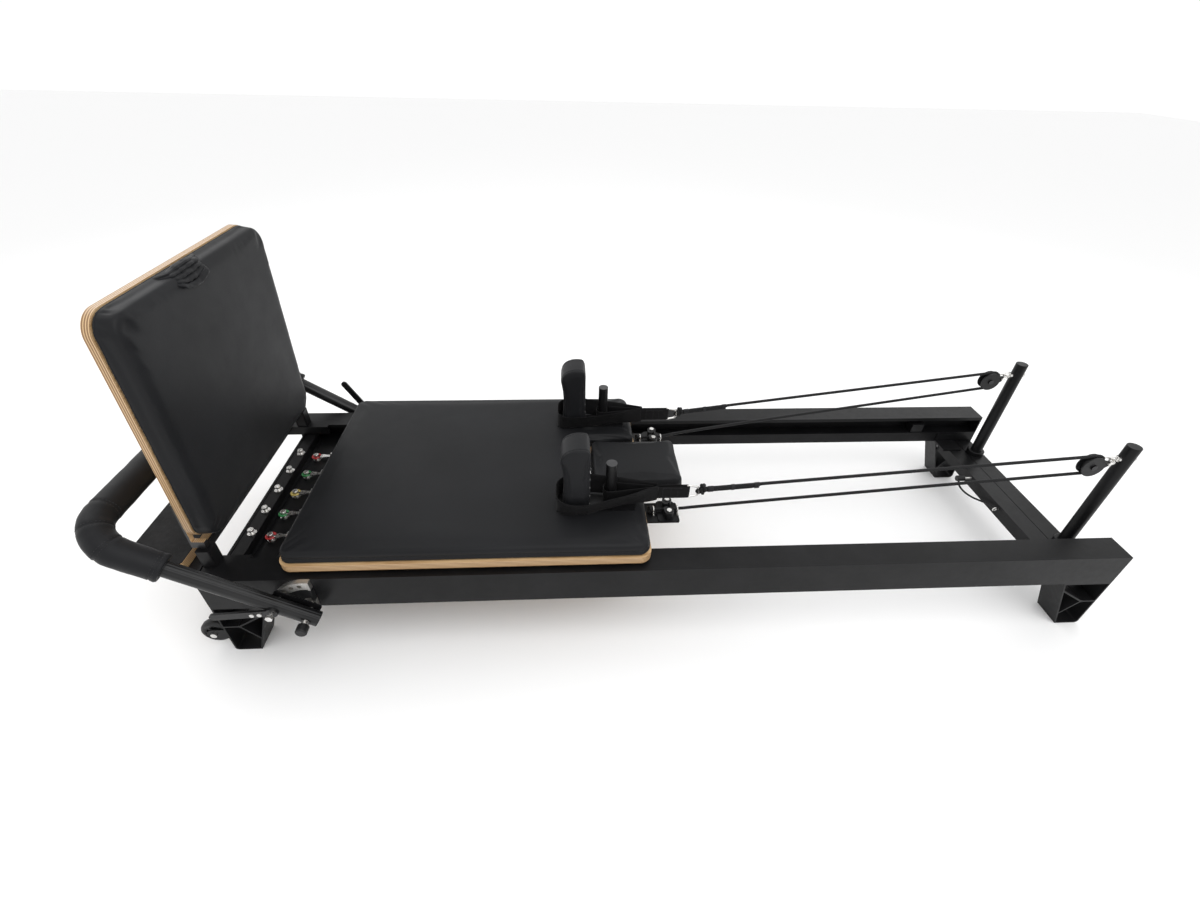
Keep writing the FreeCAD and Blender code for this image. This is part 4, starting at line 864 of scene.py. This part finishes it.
def footbar_sleeve():
    step = 0.0035
    corners = [arm_point(SLEEVE_START, -ARM_Y), arm_point(ARM_REACH, -ARM_Y),
               arm_point(ARM_REACH, ARM_Y), arm_point(SLEEVE_START, ARM_Y)]
    path = rounded(corners, ARM_CORNER, step)
    total = step * (len(path) - 1)
    bend_start = ARM_REACH - ARM_CORNER - SLEEVE_START
    seams = [bend_start + ARM_CORNER * math.radians(a) for a in (26, 55, 87)]
    seams += [total - s for s in seams] + [total * 0.5]
    bend_end = bend_start + ARM_CORNER * math.pi / 2

    def radius(k, angle):
        along = total * k / (len(path) - 1)
        end_gap = min(along, total - along)
        r = SLEEVE_RADIUS
        for seam in seams:
            gap = abs(along - seam)
            r -= 0.0014 * math.exp(-(gap / 0.0028) ** 2)
            r += 0.0006 * math.exp(-((gap - 0.009) / 0.006) ** 2)
        r += 0.0010 * math.exp(-((end_gap - 0.005) / 0.004) ** 2)
        r -= 0.0012 * math.exp(-((end_gap - 0.013) / 0.0022) ** 2)
        if end_gap < 0.002:
            r -= 0.0012
        in_bend = bend_start < end_gap < bend_end
        place = path[k]
        at = place * 22 + Vector((math.cos(angle), math.sin(angle), 0)) * 0.9
        r += 0.0007 * noise.noise(at) + (0.0009 if in_bend else 0.0003) * noise.noise(at * 2.4)
        return r

    outside, faces = tube(path, radius, 44)
    inside, inner_faces = tube(path, SLEEVE_BORE, 44)
    count = len(path) * 44
    vertices = outside[:count] + inside[:count]
    faces = [f for f in faces if len(f) == 4]
    faces += [tuple(count + i for i in reversed(f)) for f in inner_faces if len(f) == 4]
    for first in (0, count - 44):
        for j in range(44):
            a, b = first + j, first + (j + 1) % 44
            quad = (a, count + a, count + b, b)
            faces.append(quad if first == 0 else tuple(reversed(quad)))
    sleeve = finished(add_mesh("footbar_grip", vertices, faces, M["leather"]), "footbar", "black_leather",
                      "footbar_sleeve")
    rings = frames_along(path)
    threads = []
    for along in seams[:6] + [0.013, total - 0.013]:
        for offset in (-0.0034, 0.0034):
            k = min(len(path) - 2, max(1, round((along + offset) / step)))
            place, side, top, heading = rings[k]
            loop = [place + (side * math.cos(a) + top * math.sin(a)) * (radius(k, a) + 0.0001)
                    for a in [2 * math.pi * j / 96 for j in range(96)]]
            threads.append(stitches(loop, closed=True))
    underside = []
    for k, (place, side, top, heading) in enumerate(rings):
        low_angle = min((2 * math.pi * j / 72 for j in range(72)),
                        key=lambda a: (side * math.cos(a) + top * math.sin(a)).z)
        out = side * math.cos(low_angle) + top * math.sin(low_angle)
        underside.append(place + out * (radius(k, low_angle) - 0.0002))
    threads.append(stitches(underside[4:-4]))
    finished(joined("footbar_grip_stitches", threads, "thread"), "footbar", "black_leather")


# ---------------------------------------------------------------- straps and ropes
RING_X = 0.120                                # inner bar of the strap's ring
STRAP_Z = PAD_TOP + 0.033


def strap_paths(side):
    """Plan lines of the wide loop, the peg loop and the tail that goes round the ring's bar."""
    rest_low, rest_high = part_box("rest_pad_near")
    peg_x, neck_x = -0.087, 0.040
    front, back = rest_low.x - 0.012, rest_high.x + 0.009

    def spot(x, inward, z=STRAP_Z):
        return Vector((x, side * (PEG_Y - inward), z))

    low_z = STRAP_Z - 0.005
    wide = rounded([spot(neck_x, 0.004), spot(back, 0.0400), spot(front, 0.0440, low_z),
                    spot(front, -0.0600, low_z), spot(back - 0.020, -0.0600, low_z), spot(neck_x, -0.004)],
                   (0.03, 0.034, 0.036, 0.05), 0.004)
    narrow = rounded([spot(neck_x - 0.012, 0.003), spot(peg_x + 0.010, 0.0185), spot(peg_x - 0.0195, 0.0185),
                      spot(peg_x - 0.0195, -0.0185), spot(peg_x + 0.010, -0.0185), spot(neck_x - 0.012, -0.003)],
                     0.0175, 0.004)
    tail = rounded([spot(neck_x - 0.008, 0.0045), spot(RING_X - 0.004, 0.0045), spot(RING_X + 0.0046, 0.0045),
                    spot(RING_X + 0.0046, -0.0045), spot(RING_X - 0.004, -0.0045), spot(neck_x - 0.008, -0.0045)],
                   0.0042, 0.0025)
    return wide, narrow, tail


def straps():
    first = True
    for name, side in SIDES:
        wide, narrow, tail = strap_paths(side)
        hand = -side * leaning_hand(wide, side)

        def lean(place):
            return hand * math.radians(20) * smooth((0.036 - place.x) / 0.10) * smooth((place.x + 0.235) / 0.06)

        parts = [band(wide, WEBBING_HEIGHT, WEBBING_THICKNESS, wave=0.0020, seed=side * 3, rows=12, lean=lean),
                 band(narrow, WEBBING_HEIGHT - 0.010, WEBBING_THICKNESS, wave=0.0008, seed=side * 7)]
        tail_band = band(tail, WEBBING_HEIGHT - 0.012, WEBBING_THICKNESS)
        made = finished(joined("strap_loops_" + name, parts, "webbing"), "carriage", "webbing",
                        *(["straps"] if first else []))
        soften_edges(made)
        made = finished(add_mesh("strap_tail_" + name, *tail_band, M["webbing"]), "carriage", "webbing")
        soften_edges(made)
        first = False
        threads = []
        for offset in (0.0062, -0.0062):
            y = side * (PEG_Y - offset)
            for x0 in (0.034, 0.052, 0.074, 0.092):
                threads.append(stitches([(x0, y, STRAP_Z - 0.017), (x0, y, STRAP_Z + 0.017)]))
            for z in (-0.016, 0.016):
                threads.append(stitches([(0.052, y, STRAP_Z + z), (0.110, y, STRAP_Z + z)]))
        finished(joined("strap_stitches_" + name, threads, "thread"), "carriage", "webbing")


def smooth(t):
    t = min(1.0, max(0.0, t))
    return t * t * (3 - 2 * t)


def leaning_hand(path, side):
    """Which way round the path runs, so that a lean goes outward on both of its sides."""
    middle = sum(path, Vector()) / len(path)
    turn = sum((a - middle).cross(b - middle).z for a, b in zip(path, path[1:]))
    return side * (1 if turn > 0 else -1)


def nurbs_rope(name, route, diameter, material):
    curve = bpy.data.curves.new(name, "CURVE")
    curve.dimensions = "3D"
    spline = curve.splines.new("NURBS")
    spline.points.add(len(route) - 1)
    for point, place in zip(spline.points, route):
        point.co = (*place, 1.0)
    spline.order_u = 3
    spline.use_endpoint_u = True
    spline.resolution_u = 24
    curve.bevel_depth = diameter / 2
    curve.bevel_resolution = 4
    curve.use_fill_caps = True
    curve.materials.append(material)
    return placed(name, curve)


def spline_line(curve_object):
    """Points along a curve object's own smooth line."""
    bare = curve_object.copy()
    bare.data = curve_object.data.copy()
    bare.data.bevel_depth = 0.0
    bpy.context.scene.collection.objects.link(bare)
    bpy.context.view_layer.update()
    mesh = bpy.data.meshes.new_from_object(bare.evaluated_get(bpy.context.evaluated_depsgraph_get()))
    line = [v.co.copy() for v in mesh.vertices]
    bpy.data.objects.remove(bare)
    return line


ROPE_ROUTE = ((0.156, 0.188, 0.391), (1.155, 0.2194, 0.5044), (1.2010, 0.221, 0.50965), (1.2010, 0.221, 0.45475),
              (1.160, 0.2192, 0.4493), (0.155, 0.1768, 0.3162), (0.106, 0.171, 0.303), (0.028, 0.171, 0.303))
LANYARD_ROUTE = ((1.138, 0.094, 0.157), (1.139, 0.091, 0.147), (1.143, 0.080, 0.138), (1.149, 0.064, 0.133),
                 (1.155, 0.046, 0.133), (1.159, 0.028, 0.137), (1.162, 0.010, 0.144), (1.164, -0.008, 0.152),
                 (1.165, -0.025, 0.159), (1.165, -0.040, 0.1635), (1.165, -0.0505, 0.165))


def ropes():
    for name, side in SIDES:
        route = [(x, side * y, z) for x, y, z in ROPE_ROUTE]
        guide = nurbs_rope("rope_guide_" + name, route, ROPE_DIAMETER, M["braid"])
        line = spline_line(guide)
        bpy.data.objects.remove(guide)
        rope = add_mesh("rope_" + name + "_braided", *tube(even(line, 0.005), ROPE_DIAMETER / 2, 12), M["braid"])
        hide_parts("rope_" + name)
        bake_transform(rope)
        knots = rope_ends(name, side, line)


def rope_ends(name, side, line):
    """The knot at the ring, the whipped return strand, and the stopper knot behind the cleat."""
    start = line[0]
    heading = (line[20] - line[0]).normalized()
    y = side * PEG_Y
    wraps = []
    centre = Vector((0.1605, y, 0.3905))
    radius = ROPE_DIAMETER / 2
    knot_path = []
    for k in range(64):
        t = 2 * math.pi * k / 64
        r = 0.0082 + 0.0030 * math.cos(3 * t)
        offset = Vector((0.0045 * math.sin(3 * t), r * math.cos(2 * t), 1.25 * r * math.sin(2 * t)))
        knot_path.append(centre + offset)
    wraps.append(tube(knot_path, radius * 0.85, 8, closed=True))
    bar = Vector((0.150, y, 0.383))
    eye = rounded([centre + Vector((0.000, 0, 0.003)), bar + Vector((0.000, 0, 0.0085)),
                   bar + Vector((-0.0075, 0, 0.0)), bar + Vector((0.000, 0, -0.0085)),
                   centre + Vector((0.000, 0, -0.009))], 0.005, 0.002)
    wraps.append(tube(eye, 0.0032, 8, dome=True))
    side_way = heading.cross(Z_AXIS).normalized()
    below = side_way.cross(heading).normalized() * -1
    strand = [start + heading * s + below * (ROPE_DIAMETER * 0.80) for s in np.linspace(0.0, 0.162, 30)]
    strand = [p - below * 0.004 * max(0.0, (k - 24) / 5) for k, p in enumerate(strand)]
    wraps.append(tube(strand, lambda k, a: radius * (1.0 if k < 25 else 1.0 - 0.11 * (k - 24)), 10, dome=True))
    knot = finished(joined("rope_knot_" + name, wraps, "braid"), "carriage", "rope_braid")
    turns = []
    for begin, count in ((0.018, 9), (0.080, 6), (0.142, 8)):
        coil = []
        for k in range(count * 14 + 1):
            t = k / 14
            angle = 2 * math.pi * t
            middle = start + heading * (begin + t * 0.0016) + below * (ROPE_DIAMETER * 0.40)
            coil.append(middle + below * (0.0089 * math.sin(angle)) + side_way * (0.0053 * math.cos(angle)))
        turns.append(tube(coil, 0.0008, 6, dome=True))
    whip = finished(joined("rope_whipping_" + name, turns, "thread"), "carriage", "rope_braid")
    end = line[-1]
    stop = []
    for k in range(48):
        t = 2 * math.pi * k / 48
        r = 0.0058 + 0.0022 * math.cos(3 * t)
        stop.append(end + Vector((0.0034 * math.sin(3 * t) - 0.001, r * math.cos(2 * t), r * math.sin(2 * t))))
    stopper = finished(add_mesh("rope_stopper_" + name, *tube(stop, radius * 0.9, 8, closed=True), M["braid"]),
                       "carriage", "rope_braid")
    return [knot, whip, stopper]


def lanyard():
    cord = nurbs_rope("lanyard_cord", LANYARD_ROUTE, LANYARD_DIAMETER, M["braid"])
    finished(cord, "frame", "rope_braid", "lanyard")


# ---------------------------------------------------------------- springs
def springs():
    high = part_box("springs")[1]
    spacing, post_x, axis_z = 0.089, -1.016, 0.238
    coil_start, coil_end = -0.966, high.x - 0.012
    coil_radius, wire = 0.0107, 0.0016
    for k, colour in enumerate(("red", "green", "yellow", "green", "red")):
        y = spacing * (k - 2)
        turns, sides = 96, 12
        helix = []
        for i in range(turns * sides + 1):
            angle = 2 * math.pi * i / sides
            x = coil_start + (coil_end - coil_start) * i / (turns * sides)
            helix.append(Vector((x, y + coil_radius * math.cos(angle), axis_z + coil_radius * math.sin(angle))))
        coil = tube(helix, wire, 6)
        tail = tube([Vector((coil_end - 0.001, y, axis_z)), Vector((high.x, y, axis_z))], 0.002, 8)
        made = joined("spring_coil_%d" % k, [coil, tail], colour)
        if k == 0:
            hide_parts("springs")
        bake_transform(made)
        ring = [Vector((post_x + 0.0112 * math.cos(a), y + 0.0112 * math.sin(a), axis_z))
                for a in [math.radians(28 + 304 * i / 48) for i in range(49)]]
        finished(add_mesh("spring_ring_%d" % k, *tube(ring, lambda i, a: 0.0030 * (1 + 0.2 * math.cos(2 * a)), 12,
                                                      dome=True), M[colour]), "frame", "spring_enamel")
        plate = flat_hook(post_x, y, axis_z)
        cap = lathe([(0.002, 0.0), (0.0105, 0.0), (0.0123, 0.002), (0.0123, 0.012), (0.002, 0.012)],
                    (coil_start - 0.004, y, axis_z), X_AXIS, 24)
        finished(add_mesh("spring_hook_%d" % k, *join_parts([plate, cap]), M["steel"], smooth=False),
                 "frame", "hardware_steel")


def flat_hook(post_x, y, z):
    """Flat silver link from the ring to the coil's end, wide at the ring."""
    outline = [(0.0135, -0.0075), (0.020, -0.0085), (0.032, -0.0050), (0.049, -0.0050),
               (0.049, 0.0050), (0.032, 0.0050), (0.020, 0.0085), (0.0135, 0.0075)]
    count = len(outline)
    vertices = [Vector((post_x + x, y + across, z + rise)) for rise in (-0.0015, 0.0018) for x, across in outline]
    faces = [tuple(reversed(range(count))), tuple(range(count, 2 * count))]
    faces += [(k, (k + 1) % count, count + (k + 1) % count, count + k) for k in range(count)]
    return vertices, faces


# ---------------------------------------------------------------- platform, wheels, pull strap
def slab(name, x0, x1, y0, y1, z0, z1, bevel, material, corner=0.009):
    """A board with round vertical corners and eased edges."""
    steps = 5
    outline = []
    for cx, cy, start in ((x1 - corner, y1 - corner, 0), (x0 + corner, y1 - corner, 90),
                          (x0 + corner, y0 + corner, 180), (x1 - corner, y0 + corner, 270)):
        for i in range(steps + 1):
            angle = math.radians(start + 90 * i / steps)
            outline.append((cx + corner * math.cos(angle), cy + corner * math.sin(angle)))
    count = len(outline)
    vertices = [(x, y, z) for z in (z0, z1) for x, y in outline]
    faces = [tuple(reversed(range(count))), tuple(range(count, 2 * count))]
    faces += [(k, (k + 1) % count, count + (k + 1) % count, count + k) for k in range(count)]
    made = add_mesh(name, vertices, faces, material, smooth=False)
    edge = made.modifiers.new("bevel", "BEVEL")
    edge.width, edge.segments, edge.limit_method = bevel, 2, "ANGLE"
    return baked_mesh(made)


def platform():
    low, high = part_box("platform")
    deck = slab("platform_ply", low.x, high.x, low.y, high.y, low.z, high.z - 0.002, 0.0012, M["ply"])
    finished(deck, "frame", "birch_ply", "platform")
    grip = slab("platform_grip", low.x + 0.001, high.x - 0.001, low.y + 0.001, high.y - 0.001,
                high.z - 0.002, high.z, 0.0006, M["grip"])
    finished(grip, "frame", "deck_grip")


def transport_wheels():
    for name, side in SIDES:
        low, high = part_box("transport_wheel_" + name)
        centre = (low + high) / 2
        half, radius = (high.y - low.y) / 2, (high.z - low.z) / 2
        tyre = [(0.026, -half), (radius - 0.006, -half), (radius - 0.002, -half * 0.8), (radius, -half * 0.45),
                (radius, half * 0.45), (radius - 0.002, half * 0.8), (radius - 0.006, half), (0.026, half)]
        made = finished(add_mesh("transport_tyre_" + name, *lathe(tyre, centre, Y_AXIS, 64), M["tyre"]),
                        "transport_wheel_" + name, "wheel_rubber", "transport_wheel_" + name)
        rim = [(0.0225, -half * 0.85), (0.0262, -half * 0.85), (0.0262, half * 0.85), (0.0225, half * 0.85)]
        boss = [(0.0052, -half), (0.010, -half), (0.011, -half * 0.9),
                (0.011, half * 0.9), (0.010, half), (0.0052, half)]
        parts = [lathe(rim, centre, Y_AXIS, 64), lathe(boss, centre, Y_AXIS, 40)]
        spoke_faces = [(0, 1, 3, 2), (4, 6, 7, 5), (0, 4, 5, 1), (2, 3, 7, 6), (0, 2, 6, 4), (1, 5, 7, 3)]
        for k in range(5):
            angle = 2 * math.pi * k / 5
            out = Vector((math.cos(angle), 0, math.sin(angle)))
            across = Vector((-out.z, 0, out.x)) * 0.0035
            corners = []
            for y in (-half * 0.6, half * 0.6):
                for r, wide in ((0.0100, 1.5), (0.0235, 1.0)):
                    corners += [centre + out * r + across * wide * way + Y_AXIS * y for way in (1, -1)]
            parts.append((corners, spoke_faces))
        finished(add_mesh("transport_hub_" + name, *join_parts(parts), M["plastic"], smooth=False),
                 "transport_wheel_" + name, "black_plastic")


def pull_strap():
    """Leather pull handle sewn into the jump board's top seam, hanging in folds over the pad's front."""
    y0, y1 = -0.116, 0.046
    parts = []
    folds = 5
    for fold in range(folds):
        reach = fold / (folds - 1)
        path = []
        for i in range(41):
            t = i / 40
            bulge = math.sin(math.pi * t ** 0.8) ** 0.9
            out = JUMP_PLY + 0.006 + (JUMP_PAD - 0.002) * min(1.0, 1.5 * bulge) * (0.45 + 0.62 * reach)
            droop = 0.030 * bulge * reach ** 1.4
            rise = 0.008 * math.sin(math.pi * t) * (1 - 0.7 * reach)
            wobble = 0.0020 * noise.noise(Vector((t * 6, fold * 3.1, 0)))
            path.append(on_jump(out + wobble, y0 + (y1 - y0) * t, JUMP_HEIGHT - 0.004 + rise - droop + wobble))

        def radius(k, angle, fold=fold):
            t = k / 40
            gather = 0.30 + 0.70 * math.sin(math.pi * t) ** 0.6
            crumple = 0.30 * noise.noise(Vector((t * 18, math.cos(angle) * 1.5 + fold, math.sin(angle) * 1.5)))
            flat = 1 + 0.35 * math.cos(2 * angle + 0.6)
            return 0.0056 * gather * flat * (1 + crumple)
        parts.append(tube(path, radius, 14, dome=True))
    made = joined("pull_handle", parts, "leather")
    finished(made, "jump_board", "black_leather", "pull_strap")


# ---------------------------------------------------------------- floor, light and camera
def stage():
    floor = add_mesh("floor", [(-14, -14, -0.0004), (14, -14, -0.0004), (14, 14, -0.0004), (-14, 14, -0.0004)],
                     [(0, 1, 2, 3)], Shader("floor_paper", (0.93, 0.93, 0.93), 0.6).material)
    world = bpy.data.worlds.new("studio")
    world.use_nodes = True
    world.node_tree.nodes["Background"].inputs["Color"].default_value = (1, 1, 1, 1)
    world.node_tree.nodes["Background"].inputs["Strength"].default_value = 1.02
    bpy.context.scene.world = world
    bpy.context.scene.view_settings.view_transform = "Standard"
    for name, place, size, power in (("key", (0.6, -1.6, 3.2), 2.6, 45), ("fill", (-2.6, 1.4, 2.8), 2.4, 26),
                                     ("rim", (2.6, 2.4, 2.6), 2.2, 12)):
        light = bpy.data.lights.new(name, "AREA")
        light.energy, light.size = power, size
        lamp = placed(name, light)
        lamp.location = place
        lamp.rotation_euler = (Vector((0, 0, 0.3)) - Vector(place)).to_track_quat("-Z", "Y").to_euler()


def camera():
    data = bpy.data.cameras.new("camera")
    data.sensor_width, data.lens = 36.0, 16.656
    made = placed("camera", data)
    made.location = (-0.1943, -1.2929, 1.3661)
    made.rotation_euler = [math.radians(a) for a in (52.797, -1.257, -2.981)]
    bpy.context.scene.camera = made


dress_cad()
carriage_pad()
headrest_pad()
jump_cushion()
shoulder_rests()
footbar_sleeve()
straps()
ropes()
lanyard()
springs()
platform()
transport_wheels()
pull_strap()
stage()
camera()
